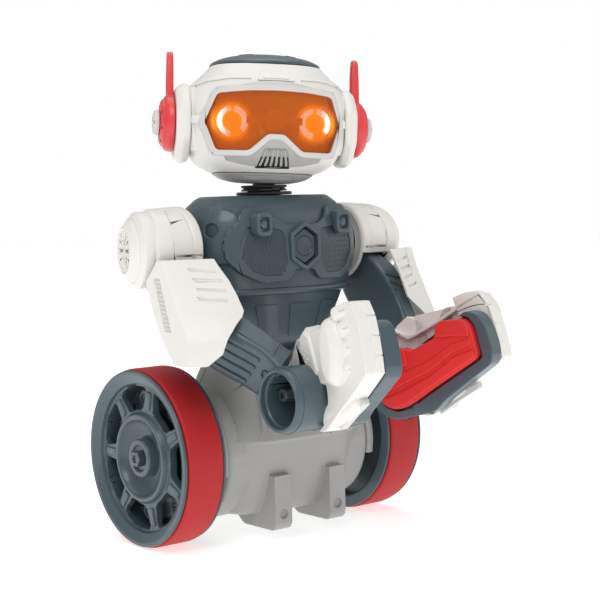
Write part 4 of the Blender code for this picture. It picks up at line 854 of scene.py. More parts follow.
for sname, k in SIDES:
    sh = (0, SHOULDER_Y, SHOULDER_Z)
    X = lambda a: k * a
    bend = Matrix.Translation((X(70.0), SHOULDER_Y, SHOULDER_Z)) @ Matrix.Rotation(k * DRUM_TURN, 4, "Z")

    def bent(prof, seg=112, closed=False):
        return moved(bm_turn([(r, X(a)) for r, a in prof], (0, 0, 0), "X", seg, closed=closed), bend)

    def bent_bm(bm):
        return moved(bm, bend)

    drum = [(0, 42.0), (9.0, 42.0), (9.0, 51.4), (14.0, 51.5), (14.4, 52.0), (17.6, 52.0), (18.0, 51.6), (19.4, 51.8), (20.4, 52.4), (20.9, 53.2), (21.0, 54.4), (20.9, 57.2), (20.4, 57.6), (20.4, 58.2), (20.8, 58.6), (20.3, 68.0), (19.6, 69.2), (18.0, 70.0), (0, 70.0)]
    body_ = csg(bm_turn([(r, X(a)) for r, a in drum], sh, "X", 112, closed=False),
                add=[bent([(0, -6.0), (19.9, -6.0), (20.1, -2.0), (20.1, 0.8), (19.6, 1.8), (18.6, 2.2), (18.4, 2.8), (18.9, 3.4), (18.9, 7.0), (18.5, 8.0), (17.4, 8.6), (16.9, 9.0), (16.6, 9.6), (15.0, 9.7), (14.8, 10.2), (14.3, 11.3), (13.4, 12.1), (12.2, 13.1), (11.5, 13.6), (10.9, 13.7), (10.6, 13.2), (0, 13.2)])],
                cut=[bm_box((X(52.6), -40, 110), (X(71.0), 30, 142.6)),
                     bm_cyl((X(54.2), SHOULDER_Y, SHOULDER_Z), (X(70.5), SHOULDER_Y, SHOULDER_Z), 18.4, 64),
                     bent([(0, -3.0), (16.6, -3.0), (16.6, 6.5), (12.6, 9.5), (9.6, 12.0), (0, 12.0)], 48)])
    # flat seam across the drum and a grid of slots in the nozzle's face
    slots = []
    for i in range(4):
        for j in range(4):
            y, z = -5.7 + i * 3.8, -6.9 + j * 4.6
            if abs(y) > 5 and abs(z) > 6:
                z *= 0.86
            slots.append(bent_bm(bm_box((X(12.2), y - 0.95, z - 1.75), (X(14.5), y + 0.95, z + 1.75))))
    seam = [csg(bm_turn([(19.9, X(53.6)), (22.5, X(53.6)), (22.5, X(67.6)), (19.9, X(67.6))], sh, "X", 96), keep=[bm_box((X(40), -60, 145.6), (X(80), 60, 146.2))])]
    body_ = csg(body_, cut=slots + seam)
    emit(f"shoulder_drum_{sname}", body_, "white", f"shoulder_{sname}", [f"shoulder_housing_{sname}"], bevel=0.4, seg=3, angle=38)
    collar = bm_turn([(r, X(a)) for r, a in [(9.4, 48.0), (14.6, 48.0), (15.4, 48.6), (15.4, 50.6), (14.6, 51.2), (9.4, 51.2)]], sh, "X", 80)
    emit(f"shoulder_collar_{sname}", collar, "dark2", "root", bevel=0.2)
    dk = bent([(0, 11.2), (10.6, 11.2), (10.6, 12.1), (0, 12.1)], 64)
    emit(f"shoulder_core_{sname}", dk, "black", f"shoulder_{sname}")
    emit(f"shoulder_screw_{sname}", moved(bm_screw((0, 0, 0), (0, 0, 1), 1.9, 0.9), Matrix.Translation((X(58.5), SHOULDER_Y + 14.2, SHOULDER_Z + 14.2)) @ Matrix.Rotation(math.radians(-45), 4, "X")), "screw", f"shoulder_{sname}")

    # ------------------------------------------------------------------ arm
    outer = arm_loft(k, 0, 0, 3.2)
    chan_rows = [tuple(tuple(Vector(p).lerp(Vector(q), 0.33)) for p, q in zip(ARM[0], ARM[1]))] + ARM[1:5]
    inner = arm_loft(k, 1.6, 6.0, 1.0, chan_rows, 3)
    tube = [(15.5, 30.3), (15.5, 52.6), (14.9, 54.2), (14.2, 55.0), (13.2, 55.0), (12.9, 54.4), (12.9, 52.0), (12.2, 51.4), (12.2, 33.0), (9.6, 33.0), (9.6, 24.2), (11.4, 24.2), (11.8, 24.6), (11.8, 30.3)]
    tb = bm_turn([(r, X(a)) for r, a in tube], (0, WRIST_Y, WRIST_Z), "X", 112)
    solid_tube = bm_cyl((X(30.3), WRIST_Y, WRIST_Z), (X(55.0), WRIST_Y, WRIST_Z), 15.2, 96)
    stub = bm_turn([(0, 136), (4.0, 136), (4.0, 143.4), (7.0, 143.4), (7.0, 145.0), (4.0, 145.0), (4.0, 152.0), (0, 152.0)], (X(SHOULDER_X), SHOULDER_Y, 0), "Z", 40, closed=False)
    bore = bm_turn([(r, X(a)) for r, a in [(0, 33.0), (12.2, 33.0), (12.2, 60.0), (0, 60.0)]], (0, WRIST_Y, WRIST_Z), "X", 96, closed=False)
    bore2 = bm_cyl((X(20), WRIST_Y, WRIST_Z), (X(34), WRIST_Y, WRIST_Z), 9.6, 48)
    grooves_a = []
    for t in (1.35, 1.75, 2.15):
        p, q = arm_point(t, 0.12, 0.0), arm_point(t + 0.12, 0.88, 0.0)
        d = (q - p)
        w = d.cross(Vector((0, -1, 1))).normalized() * 0.7
        n = Vector((0, -0.7, 0.7)) * 1.2
        ringsg = [[(k * c.x, c.y, c.z) for c in (e + w + n, e - w + n, e - w - n * 0.5, e + w - n * 0.5)] for e in (p, q)]
        grooves_a.append(bm_loft(ringsg))
    arm_b = csg(outer, cut=[inner] + grooves_a + [bore, bore2], add=[stub])
    arm_b = csg(arm_b, add=[tb])
    emit(f"arm_frame_{sname}", arm_b, "dark", f"arm_{sname}", [f"arm_{sname}"], bevel=0.4, seg=3, angle=36)
    # ribs and screws on the outer side, a raised panel on the front face
    ribs = []
    for sv in (0.22, 0.42, 0.62, 0.82):
        path = [arm_point(t, 1.0, sv) for t in (1.7, 2.3, 2.9, 3.5, 4.1)]
        ribs.append(strip(k, path, 1.5, 0.9, (1, -0.15, -0.1)))
    emit(f"arm_side_ribs_{sname}", join(*ribs), "dark", f"arm_{sname}", bevel=0.12)
    pan_rows = []
    for t in (2.2, 2.8, 3.4, 4.0, 4.5):
        a, b = arm_point(t, 0.16, 0.0), arm_point(t, 0.84, 0.0)
        q = [Vector(p).lerp(Vector(r_), t - int(t)) for p, r_ in zip(ARM[int(t)], ARM[int(t) + 1])]
        n = (q[0] - q[3]).normalized()
        pan_rows.append([(k * c.x, c.y, c.z) for c in (a - n * 0.8, a + n * 0.7 + (b - a).normalized() * 0.4, b + n * 0.7 - (b - a).normalized() * 0.4, b - n * 0.8)])
    emit(f"arm_front_panel_{sname}", bm_loft(pan_rows), "dark", f"arm_{sname}", bevel=0.35, seg=3)
    for i, (t, sv) in enumerate(((4.55, 0.40), (4.75, 0.80))):
        c = arm_point(t, 1.0, sv)
        emit(f"arm_screw_{sname}_{i + 1}", bm_screw((k * (c.x + 0.1), c.y, c.z), (k, 0, 0), 2.2, 1.0), "screw", f"arm_{sname}")
    rings_b = [bm_turn([(r, X(a)) for r, a in pr], (0, WRIST_Y, WRIST_Z), "X", 112) for pr in
               ([(15.2, 49.4), (15.9, 49.6), (15.9, 51.4), (15.2, 51.6)], [(15.2, 34.6), (15.8, 34.8), (15.8, 36.0), (15.2, 36.2)])]
    lug = csg(bm_turn([(r, X(a)) for r, a in [(15.0, 44.0), (18.6, 44.0), (18.8, 44.4), (18.8, 48.6), (18.6, 49.0), (15.0, 49.0)]], (0, WRIST_Y, WRIST_Z), "X", 112),
              keep=[bm_box((X(40), WRIST_Y - 30, WRIST_Z - 30), (X(52), WRIST_Y - 2, WRIST_Z - 7))])
    emit(f"barrel_rings_{sname}", join(*rings_b), "dark", f"arm_{sname}", bevel=0.15)
    boss = bm_turn([(0, X(33.0)), (3.2, X(33.0)), (3.2, X(45.0)), (2.8, X(45.4)), (1.5, X(45.4)), (1.5, X(44.0)), (0, X(44.0))], (0, WRIST_Y + 8.4, WRIST_Z + 1.0), "X", 28, closed=False)
    emit(f"barrel_post_{sname}", boss, "dark2", f"arm_{sname}")

    # ------------------------------------------------------------------ guard
    rows = [(144.5, 57.0, -45.0, -35.5, -32.0), (141.0, 56.4, -47.8, -36.8, -28.5), (134.0, 54.8, -54.0, -39.5, -21.5), (127.0, 53.7, -58.6, -43.4, -24.4), (120.0, 53.0, -62.5, -47.0, -27.0), (117.4, 55.0, -63.8, -48.6, -28.3), (114.0, 59.0, -64.5, -50.5, -30.0),
            (107.5, 65.4, -66.0, -54.0, -33.5), (104.0, 66.4, -65.2, -55.2, -36.2), (100.5, 67.0, -64.0, -56.0, -39.0), (95.0, 73.0, -60.0, -56.0, -43.5)]
    rings = [[(X(x), y, z) for x, y, z in ((xi, yi, z), (xi + (79.6 - xi) * 0.5, yi + (yr - yi) * 0.47 - 0.6, z), (79.6, yr - 1.5, z), (80.9, yr - 0.6, z), (81.4, yr + 0.4, z), (81.4, yb, z), (79.4, yb, z), (79.2, yr + 2.4, z), (xi + 0.4, yi + 2.2, z))]
             for z, xi, yi, yr, yb in rows]
    cut_g = [bm_loft([[(k * x, y, z) for y, z in ((-33.5, 136), (-28.5, 136), (-36.5, 111), (-42.0, 111))] for x in (80.6, 82.0)])]
    for (y0, z0), (y1, z1) in (((0.12, 138.6), (0.62, 139.8)), ((0.12, 134.0), (0.62, 135.2)), ((0.14, 129.4), (0.62, 130.6)), ((0.2, 124.8), (0.66, 126.0))):
        def on(f, z):
            zs = [r_[0] for r_ in rows]
            for a_, b_ in zip(rows, rows[1:]):
                if b_[0] <= z <= a_[0]:
                    t = (a_[0] - z) / (a_[0] - b_[0])
                    xi, yi, yr = (a_[j] + (b_[j] - a_[j]) * t for j in (1, 2, 3))
                    return Vector((xi + (79.6 - xi) * f, yi + (yr - yi) * f - 0.4, z))
        p, q = on(y0, z0), on(y1, z1)
        nn = Vector((-0.3, -0.95, 0)).normalized()
        hh = Vector((0, 0, 0.85))
        cut_g.append(bm_loft([[(k * c.x, c.y, c.z) for c in (e + nn * 3 + hh, e + nn * 3 - hh, e - nn * 0.75 - hh * 0.6, e - nn * 0.75 + hh * 0.6)] for e in (p, q)]))
    guard = csg(bm_loft(rings), cut=cut_g)
    emit(f"guard_{sname}", guard, "white", f"arm_{sname}", [f"arm_guard_{sname}"], bevel=0.5, seg=3, angle=24)
    gr_ = []
    for i in range(12):
        f = (i + 0.5) / 12
        y0, y1, z = -33.0 + (-41.4 + 33.0) * f, -28.9 + (-37.0 + 28.9) * f, 135.6 - 24.2 * f
        gr_.append(bm_box((X(80.3), y0, z - 0.45), (X(81.3), y1, z + 0.45)))
    emit(f"guard_ribs_{sname}", join(*gr_), "cream", f"arm_{sname}")
    # two struts hold the guard on the arm
    struts = []
    for t, zt in ((1.55, 128.0), (2.9, 112.0)):
        c = arm_point(t, 1.0, 0.35)
        struts.append(bm_cyl((X(c.x - 1.5), c.y, c.z), (X(79.8), c.y - 1.0, c.z + 2.0), 2.1, 20))
    emit(f"guard_struts_{sname}", join(*struts), "dark", f"arm_{sname}")
# ------------------------------------------------------------------ hands
def hand_place(k):
    c, s = math.cos(HAND_TOE), math.sin(HAND_TOE)

    def f(u, v, w):            # u forward, v up, w outward from the palm
        return (k * (16.0 + u * s + w * c), WRIST_Y - u * c + w * s, WRIST_Z - 0.5 + v)
    return f


TRAY = [(-14.5, -3.5), (-9.5, -12.5), (0.8, -16.8), (11.2, -14.3), (25.4, -10.6), (30.2, -5.3), (57.6, 14.6), (57.0, 22.2), (53.0, 32.9), (48.5, 37.6),
        (42.0, 38.0), (38.5, 35.0), (18.1, 22.0), (11.5, 17.5), (0.0, 16.5), (-10.0, 12.0)]
PAD = [(-3.7, 18.6), (9.1, 19.4), (12.1, 17.8), (27.0, 25.3), (27.7, 31.0), (29.5, 33.2), (43.2, 34.8), (47.0, 31.0), (51.0, 17.0), (24.5, 0.2), (11.3, -8.6),
       (3.4, -11.3), (-3.9, -9.4), (-8.7, 0.0), (-3.4, 8.6)]
RIM = [(45.0, 46.4), (34.0, 40.4), (22.0, 33.0), (4.0, 24.0), (-8.0, 28.0), (-14.0, 18.0), (-14.0, 4.0), (-4.0, -14.0), (18.0, -15.0), (32.8, -3.0), (42.6, 3.9),
       (57.4, 15.6), (55.8, 22.9), (50.8, 39.5)]
F_START = [(30.0, 43.6), (33.0, 36.6), (35.0, 28.6), (37.0, 19.8), (36.0, 9.0)]
F_END = [(45.4, 47.0), (50.6, 40.8), (53.8, 32.2), (56.2, 23.6), (57.6, 15.4)]


def groove_path(hp, pts, width, depth):
    """Lens-shaped groove cutter along points (u, v, w)."""
    n = len(pts)
    rings = []
    for i, (u, v, w) in enumerate(pts):
        a, b = pts[max(0, i - 1)], pts[min(n - 1, i + 1)]
        d = Vector((b[0] - a[0], b[1] - a[1])).normalized()
        s = Vector((-d.y, d.x)) * width * max(0.12, math.sin(math.pi * (i + 0.4) / (n - 0.2)))
        rings.append([hp(u + s.x, v + s.y, w + 2.0), hp(u - s.x, v - s.y, w + 2.0), hp(u - s.x * 0.4, v - s.y * 0.4, w - depth), hp(u + s.x * 0.4, v + s.y * 0.4, w - depth)])
    return bm_loft(rings)


def cut_line(hp, pts, width, w0, w1):
    rings = []
    for i, (u, v) in enumerate(pts):
        a, b = pts[max(0, i - 1)], pts[min(len(pts) - 1, i + 1)]
        d = Vector((b[0] - a[0], b[1] - a[1])).normalized()
        s = Vector((-d.y, d.x)) * width / 2
        rings.append([hp(u + s.x, v + s.y, w0), hp(u - s.x, v - s.y, w0), hp(u - s.x * 0.5, v - s.y * 0.5, w1), hp(u + s.x * 0.5, v + s.y * 0.5, w1)])
    return bm_loft(rings)


for sname, k in SIDES:
    hp = hand_place(k)
    X = lambda a: k * a
    hand = f"hand_{sname}"
    # tray: dark dish with a rolled wall, on a sleeve round the forearm tube
    tray_r = rounded(TRAY, [4, 5, 5, 5, 4, 4, 4, 4, 4, 4, 4, 4, 3, 3, 4, 4], 4)
    pad_r = rounded(PAD, [2, 2, 2, 2.5, 1.5, 1.5, 3, 3, 3.5, 4, 4, 4, 4, 4, 3], 4)
    tray = csg(bm_prism(tray_r, 0.5, 9.0, hp), add=[bm_turn([(12.1, X(19.0)), (15.6, X(19.0)), (16.4, X(19.8)), (16.4, X(29.2)), (15.9, X(29.8)), (12.1, X(29.8))], (0, WRIST_Y, WRIST_Z), "X", 96)],
               cut=[bm_cyl((X(23.8), WRIST_Y, WRIST_Z), (X(60.0), WRIST_Y, WRIST_Z), 12.1, 64),
                    bm_prism(rounded(inset(PAD, -0.9), 2.0, 3), -5.0, 4.4, hp), bm_prism(rounded(inset(TRAY, 1.8), 3.0, 3), 5.9, 12.0, hp)])
    emit(f"hand_tray_{sname}", tray, "dark", hand, [f"hand_body_{sname}"], bevel=0.5, seg=3, angle=36)
    # grip pad: two blocks, and a long curved groove between two raised strips
    base = bm_prism(pad_r, -1.7, 4.0, hp)
    blk_a = rounded([(-4.0, 8.0), (-4.4, 18.4), (9.2, 19.2), (11.6, 11.5), (4.0, 8.4)], 1.6, 4)
    blk_b = rounded([(27.4, 25.2), (28.0, 31.0), (29.8, 33.0), (43.0, 34.6), (46.4, 31.2), (46.8, 27.0), (38.0, 26.6)], 1.6, 4)
    wing = rounded([(-8.0, 0.0), (-3.6, 6.4), (10.0, 8.2), (24.0, 14.4), (36.0, 22.6), (46.6, 25.6), (47.6, 22.8), (37.0, 18.6), (24.0, 9.0), (8.0, 1.6), (-4.0, -4.4)], 1.4, 3)
    low = rounded([(-4.2, -6.6), (9.0, -1.2), (25.0, 7.0), (37.6, 16.4), (48.4, 20.4), (50.0, 17.2), (24.5, 1.4), (11.3, -7.4), (3.4, -10.2), (-3.2, -8.6)], 1.4, 3)
    pad = join(base, bm_prism(blk_a, -3.0, 1.0, hp), bm_prism(blk_b, -3.0, 1.0, hp), bm_prism(low, -2.9, 1.0, hp), bm_prism(wing, -2.3, 1.0, hp))
    emit(f"hand_grip_{sname}", pad, "pad", hand, [f"grip_pad_{sname}"], bevel=0.6, seg=3, angle=34)

    # glove: back plate, knuckle dome, four shingled fingers, wrist pad, thumb roll
    rim_r = rounded(RIM, [2, 4, 4, 4, 4, 4, 4, 5, 5, 4, 3, 2, 2, 2], 4)
    shell = bm_loft([[hp(u, v, w) for u, v in (inset(rim_r, d) if d else rim_r)] for w, d in ((9.4, 0.0), (14.6, 0.0), (16.6, 0.5), (18.2, 1.6), (19.0, 2.8))])
    adds = []
    for i in range(4):
        rings = []
        for j in range(9):
            t = j / 8
            a = Vector(F_START[i]).lerp(Vector(F_END[i]), t)
            b = Vector(F_START[i + 1]).lerp(Vector(F_END[i + 1]), t)
            bow = math.sin(math.pi * t) * 1.2
            top = 21.6 - 7.2 * t ** 1.4 + 0.5 * math.sin(math.pi * t) - 0.35 * i
            m = (a - b) * 0.0
            rings.append([hp(p.x, p.y + bow, w) for p, w in ((a - (a - b) * 0.02, 9.4), (a - (a - b) * 0.02, top - 2.2), (a.lerp(b, 0.10), top - 0.7), (a.lerp(b, 0.30), top), (a.lerp(b, 0.66), top - 0.1),
                                                            (a.lerp(b, 0.88), top - 1.1), (a.lerp(b, 0.98), top - 3.0), (a.lerp(b, 0.98), 9.4))])
        adds.append(bm_loft(rings))
    # knuckle dome: a tall smooth bar
    rings = []
    for w, f in ((12.0, 1.0), (19.5, 1.0), (21.4, 0.93), (23.0, 0.80), (24.0, 0.62), (24.4, 0.40)):
        ring = []
        for i in range(40):
            t = 2 * math.pi * i / 40
            cu, cv = math.cos(t), math.sin(t)
            du, dv = 9.4 * f * math.copysign(abs(cu) ** 0.85, cu), 15.6 * (0.35 + 0.65 * f) * math.copysign(abs(cv) ** 0.8, cv)
            ring.append(hp(29.6 + du - dv * 0.10, 23.6 + dv, w))
        rings.append(ring)
    adds.append(bm_loft(rings))
    PADH = [(2.6, 30.0), (8.0, 28.6), (15.6, 13.8), (12.6, 9.4), (3.6, 1.8), (-1.4, 4.8), (-6.0, 21.4), (-1.8, 26.6)]
    adds.append(bm_loft([[hp(u, v, w) for u, v in inset(PADH, d)] for w, d in ((12.0, -3.4), (19.4, -2.6), (20.4, -1.2), (21.6, 0.0))]))
    # web between the pad and the knuckles
    adds.append(bm_loft([[hp(u, v, w) for u, v in o] for w, o in ((12.0, [(6, 34), (28, 39), (34, 8), (10, 3)]), (20.6, [(8, 31), (27, 36), (31, 11), (12, 7)]))]))
    roll = []
    for u, v, r in ((-10.0, -4.0, 4.6), (-4.0, -6.4, 6.4), (8.0, -7.0, 6.9), (24.0, -5.0, 6.2), (36.0, -0.6, 4.6), (42.0, 2.6, 3.0)):
        roll.append([hp(u, v + r * math.cos(a), 13.6 + r * 0.92 * math.sin(a)) for a in (2 * math.pi * i / 24 for i in range(24))])
    adds.append(bm_loft(roll))
    cuts = [bm_loft([[hp(u, v, 5.0) for u, v in inset(RIM, 1.6)], [hp(u, v, 14.4) for u, v in inset(RIM, 1.6)], [hp(u, v, 16.8) for u, v in inset(RIM, 4.2)]]),
            bm_cyl((X(5.0), WRIST_Y, WRIST_Z), (X(70.0), WRIST_Y, WRIST_Z), 17.0, 64), bm_prism([(-40, -40), (90, -40), (90, 80), (-40, 80)], -10, 9.4, hp)]
    for i in range(4):
        a = (Vector(F_START[i]) + Vector(F_START[i + 1])) / 2
        b = (Vector(F_END[i]) + Vector(F_END[i + 1])) / 2
        pts = []
        for j in range(7):
            t = 0.28 + 0.42 * j / 6
            p = a.lerp(b, t)
            pts.append((p.x, p.y + math.sin(math.pi * t) * 1.2, 21.6 - 7.2 * t ** 1.4 + 0.5 * math.sin(math.pi * t) - 0.35 * i))
        cuts.append(groove_path(hp, pts, 0.85, 0.9))
    holes = []
    for i in range(4):
        for j in range(6):
            u, v = 1.2 + (i - 1.5) * 2.9 + j * 0.0 + 3.4, 16.0 + (j - 2.5) * 3.1 + (1.5 if i % 2 else 0.0)
            u += -(v - 16.0) * 0.42
            holes.append(bm_cyl(hp(u, v, 20.7), hp(u, v, 24.0), 0.62, 8))
    hole_tool = join(*holes)
    body_g = csg(bm_prism(rim_r, 9.4, 19.0, hp), cut=[cuts[0], cuts[1]])
    padh = csg(adds.pop(5), cut=[hole_tool])
    fingers = [csg(f, cut=[g]) for f, g in zip(adds[:4], cuts[3:7])]
    glove = join(body_g, padh, *fingers, *adds[4:])
    emit(f"glove_{sname}", glove, "white", hand, [f"hand_cover_{sname}"], bevel=0.35, seg=2, angle=34)
    ovals = []
    for u, v in ((-1.6, 25.0), (9.2, 7.6)):
        o = [(u + 1.2 * math.cos(a) + 0.5 * math.sin(a), v + 2.3 * math.sin(a)) for a in (2 * math.pi * i / 20 for i in range(20))]
        ovals.append(bm_prism(o, 20.6, 21.9, hp, 0, 0.25))
    emit(f"glove_plugs_{sname}", join(*ovals), "jaw", hand)
    lip = bm_prism(rounded([(22.0, -13.6), (34.0, -5.4), (44.0, 0.6), (43.0, 3.4), (33.0, -2.0), (20.6, -10.4)], 1.0, 3), 9.6, 13.4, hp)
    emit(f"glove_lip_{sname}", lip, "cream", hand, bevel=0.3)
# ------------------------------------------------------------------ base
BARREL_Y, BARREL_Z, BARREL_R = -2.0, 44.0, 34.0
BASE = [(12.5, 33, 22, 23), (14.2, 35.4, 22, 26.2), (20, 38, 22, 30), (28, 40.2, 23, 33.2), (36, 42, 24, 35.5), (44, 43.4, 24.6, 37.0), (50.6, 44.5, 25, 38.0)]
BASE_TOP = [(50.6, 44.9, 25.4, 38.9), (51.3, 45.5, 26, 40.3), (52.2, 45.8, 26.2, 40.7), (53.2, 45.5, 26, 40.4), (54.2, 45.2, 26, 39.9), (60, 43.8, 26, 38.0), (66, 42, 26, 35.5), (72, 39.3, 25.6, 33.0),
            (78, 36, 25, 30.0), (84, 32.8, 24, 27.2), (89, 30.2, 23, 24.8), (92.2, 28.8, 22.3, 23.2), (93.5, 27.4, 21.4, 21.8)]


def base_loft(rows, d=0.0, seg=120, n=3.2):
    return bm_loft([super_ring(a - d, br - d, -5.0, z, n, seg, bf=bf - d) for z, a, br, bf in rows])


def base_in():
    rows = [(14.9, 31, 19.6, 22.5), (20, 35.4, 19.6, 27.6), (36, 39.6, 21.6, 33.1), (51, 42.1, 22.6, 35.6), (56, 42.6, 23.6, 37.1), (66, 39.6, 23.6, 33.1), (78, 33.6, 22.6, 27.6), (91, 27.0, 19.6, 21.0)]
    return bm_loft([super_ring(a, br, -5.0, z, 3.2, 64, bf=bf) for z, a, br, bf in rows])


COMP = [(12.0, 10.8), (66.0, 10.8), (71.0, 15.0), (71.0, 62.0), (66.0, 68.6), (12.0, 68.6)]
comp_out = lambda: bm_prism(rounded(COMP, [0.5, 3, 3, 3, 3, 0.5], 4), -32, 32, YZ)
comp_in = lambda: bm_prism(inset(COMP, 2.2), -30, 30, YZ)


def barrel_out():
    pr = [(0, -46), (18.0, -46), (18.4, -45.2), (26.6, -45.2), (27.0, -46), (30.8, -46), (32.4, -45.6), (33.5, -44.6), (34.0, -43.0), (34.0, -30.6), (33.6, -30.2), (33.6, -29.6), (34.0, -29.2)]
    return bm_turn(pr + [(r, -a) for r, a in reversed(pr)], (0, BARREL_Y, BARREL_Z), "X", 128, closed=False)


barrel_in = lambda: bm_cyl((-43.4, BARREL_Y, BARREL_Z), (43.4, BARREL_Y, BARREL_Z), 31.4, 96)
axle_hole = lambda: bm_cyl((-60, 0, WHEEL_R), (60, 0, WHEEL_R), 3.7, 32)
waist_hole = lambda: bm_cyl((0, TORSO_Y, 80), (0, TORSO_Y, 100), 14, 48)
SKID = [(-43.0, 34.0), (-43.0, 9.0), (-40.6, 6.0), (-15.4, 6.0), (-6.6, 13.0), (-6.6, 34.0)]


def skid(k):
    a, b = k * 12.5, k * 23.0
    return bm_prism(rounded(SKID, [0.2, 1.6, 1.6, 2.5, 2.5, 0.2], 4), min(a, b), max(a, b), YZ)


skid_cuts = [bm_cyl((k * 17.7, -46.0, 14.5), (k * 17.7, -41.6, 14.5), 2.6, 28) for k in (1, -1)]
front = csg(base_loft(BASE + BASE_TOP[1:]), add=[barrel_out(), skid(1), skid(-1)],
            cut=[base_in(), barrel_in(), comp_in(), bm_box((-HALL, 1.85, -10), (HALL, HALL, 200)), axle_hole(), waist_hole()] + skid_cuts)
emit("base_front", front, "grey", "root", ["base_front_shell"], bevel=0.35, seg=2, angle=40)
# raised pads on the front: a shallow arched panel, a stepped block and two ribs
def base_panel(outline, d0, d1):
    rows = BASE + BASE_TOP[1:]
    return csg(base_loft(rows, -d1), keep=[bm_prism(outline, -70, -8, XZ)], cut=[base_loft(rows, -d0)])


pan = rounded([(-22, 58.0), (22, 58.0), (17.5, 78.0), (-17.5, 78.0)], 2.5, 4)
pan_in = rounded(inset(pan, 1.6), 0.1, 1)
emit("base_front_panel", csg(base_panel(pan, -0.4, 0.75), cut=[bm_prism(inset([(-22, 58.0), (22, 58.0), (17.5, 78.0), (-17.5, 78.0)], 2.2), -90, -8, XZ)]), "grey", "root", bevel=0.25)
emit("base_front_step", base_panel(rounded([(-8.0, 80.5), (8.0, 80.5), (7.0, 90.0), (-7.0, 90.0)], 1.2, 3), -0.4, 1.0), "grey", "root", bevel=0.25)
for sx in (1, -1):
    nm = "left" if sx > 0 else "right"
    rib = [(sx * 26.5, 56.5), (sx * 29.0, 56.5), (sx * 24.6, 84.0), (sx * 22.6, 84.0)]
    emit(f"base_side_rib_{nm}", base_panel(rib, -0.4, 0.9), "grey", "root", bevel=0.25)
    # arched cover over the barrel's end, next to the wheel
    arch = bm_turn([(28.2, sx * 45.6), (33.4, sx * 45.6), (34.6, sx * 46.6), (34.4, sx * 49.0), (33.0, sx * 50.4), (29.2, sx * 50.4), (28.2, sx * 49.4)], (0, BARREL_Y, BARREL_Z), "X", 112)
    arch = csg(arch, cut=[bm_box((sx * 40, -60, -10), (sx * 56, 60, 36))])
    emit(f"base_arch_{nm}", arch, "grey", "root", bevel=0.3, seg=2)
    hub = bm_turn([(3.9, sx * 45.4), (12.0, sx * 45.4), (11.2, sx * 49.4), (10.4, sx * 50.6), (4.3, sx * 50.6), (3.9, sx * 50.2)], (0, 0, WHEEL_R), "X", 64)
    emit(f"axle_bush_{nm}", hub, "grey", "root", bevel=0.2)
    emit(f"barrel_screws_{nm}", join(*[bm_screw((sx * 45.1, BARREL_Y + 22.4 * math.cos(a), BARREL_Z + 22.4 * math.sin(a)), (sx, 0, 0), 2.0, 0.9) for a in (0.7, 2.4, 3.9, 5.5)]),
         "screw", "root")

# rear shell: compartment with a door, side ribs, vents, switch slot
cuts = [base_in(), barrel_in(), comp_in(), bm_box((-HALL, -HALL, -10), (HALL, 2.15, 200)), axle_hole(), waist_hole(),
        bm_box((-27, 64, 17.5), (27, 80, 60.5)), bm_prism(rounded([(12.6, 10), (22.4, 10), (22.4, 60), (12.6, 60)], 0.1, 1), 72, 80, XY)]
for sx in (1, -1):
    for i in range(5):
        cuts.append(bm_prism(rounded([(34 + i * 5.4, 24), (36.2 + i * 5.4, 24), (36.2 + i * 5.4, 56), (34 + i * 5.4, 56)], 0.9, 3), sx * 31.2, sx * 34, YZ))
rear_b = csg(base_loft(BASE + BASE_TOP[1:]), add=[barrel_out(), comp_out()], cut=cuts)
emit("base_rear", rear_b, "grey", "root", ["base_rear_shell"], bevel=0.4, seg=2, angle=40)
door = csg(bm_prism(rounded([(-26.7, 17.8), (26.7, 17.8), (26.7, 60.2), (-26.7, 60.2)], 1.5, 4), 68.9, 71.0, XZ, 0, 0.5),
           add=[bm_prism(rounded([(-6, 53.4), (6, 53.4), (6, 57.2), (-6, 57.2)], 1.2, 4), 70.5, 71.8, XZ, 0, 0.5)],
           cut=[bm_prism(rounded([(-21 + i * 0.0, 22 + i * 4.6), (21, 22 + i * 4.6), (21, 24.0 + i * 4.6), (-21, 24.0 + i * 4.6)], 0.9, 3), 70.3, 72, XZ) for i in range(6)])
emit("battery_hatch", door, "grey", "root", ["battery_door"], bevel=0.2)
emit("rear_case_screws", join(*[bm_screw((x, 71.0, z), (0, 1, 0), 1.9, 0.7) for x in (-29.4, 29.4) for z in (22.0, 56.0)]), "screw", "root")
skid_r = bm_turn([(0, 0), (4.4, 0), (5.6, 0.5), (6.6, 1.6), (7.0, 3.0), (7.0, 10.5), (0, 10.5)], (0, 54.0, 0), "Z", 64, closed=False)
emit("rear_glide", skid_r, "black", "root", ["rear_skid"], smooth=50)
knob = csg(bm_prism(rounded([(13.0, 16.8), (17.4, 16.8), (17.4, 23.6), (13.0, 23.6)], 0.8, 3), 72.8, 79.2, XY, 0, 0.5), cut=[bm_box((12, 18.2 + i * 1.7, 78.7), (18, 18.9 + i * 1.7, 80)) for i in range(3)])
emit("switch_knob", knob, "black", "power_switch", ["power_switch"], bevel=0.12)
# ------------------------------------------------------------------ wheels
def ring_point(r, a):
    return (r * math.cos(a), r * math.sin(a))


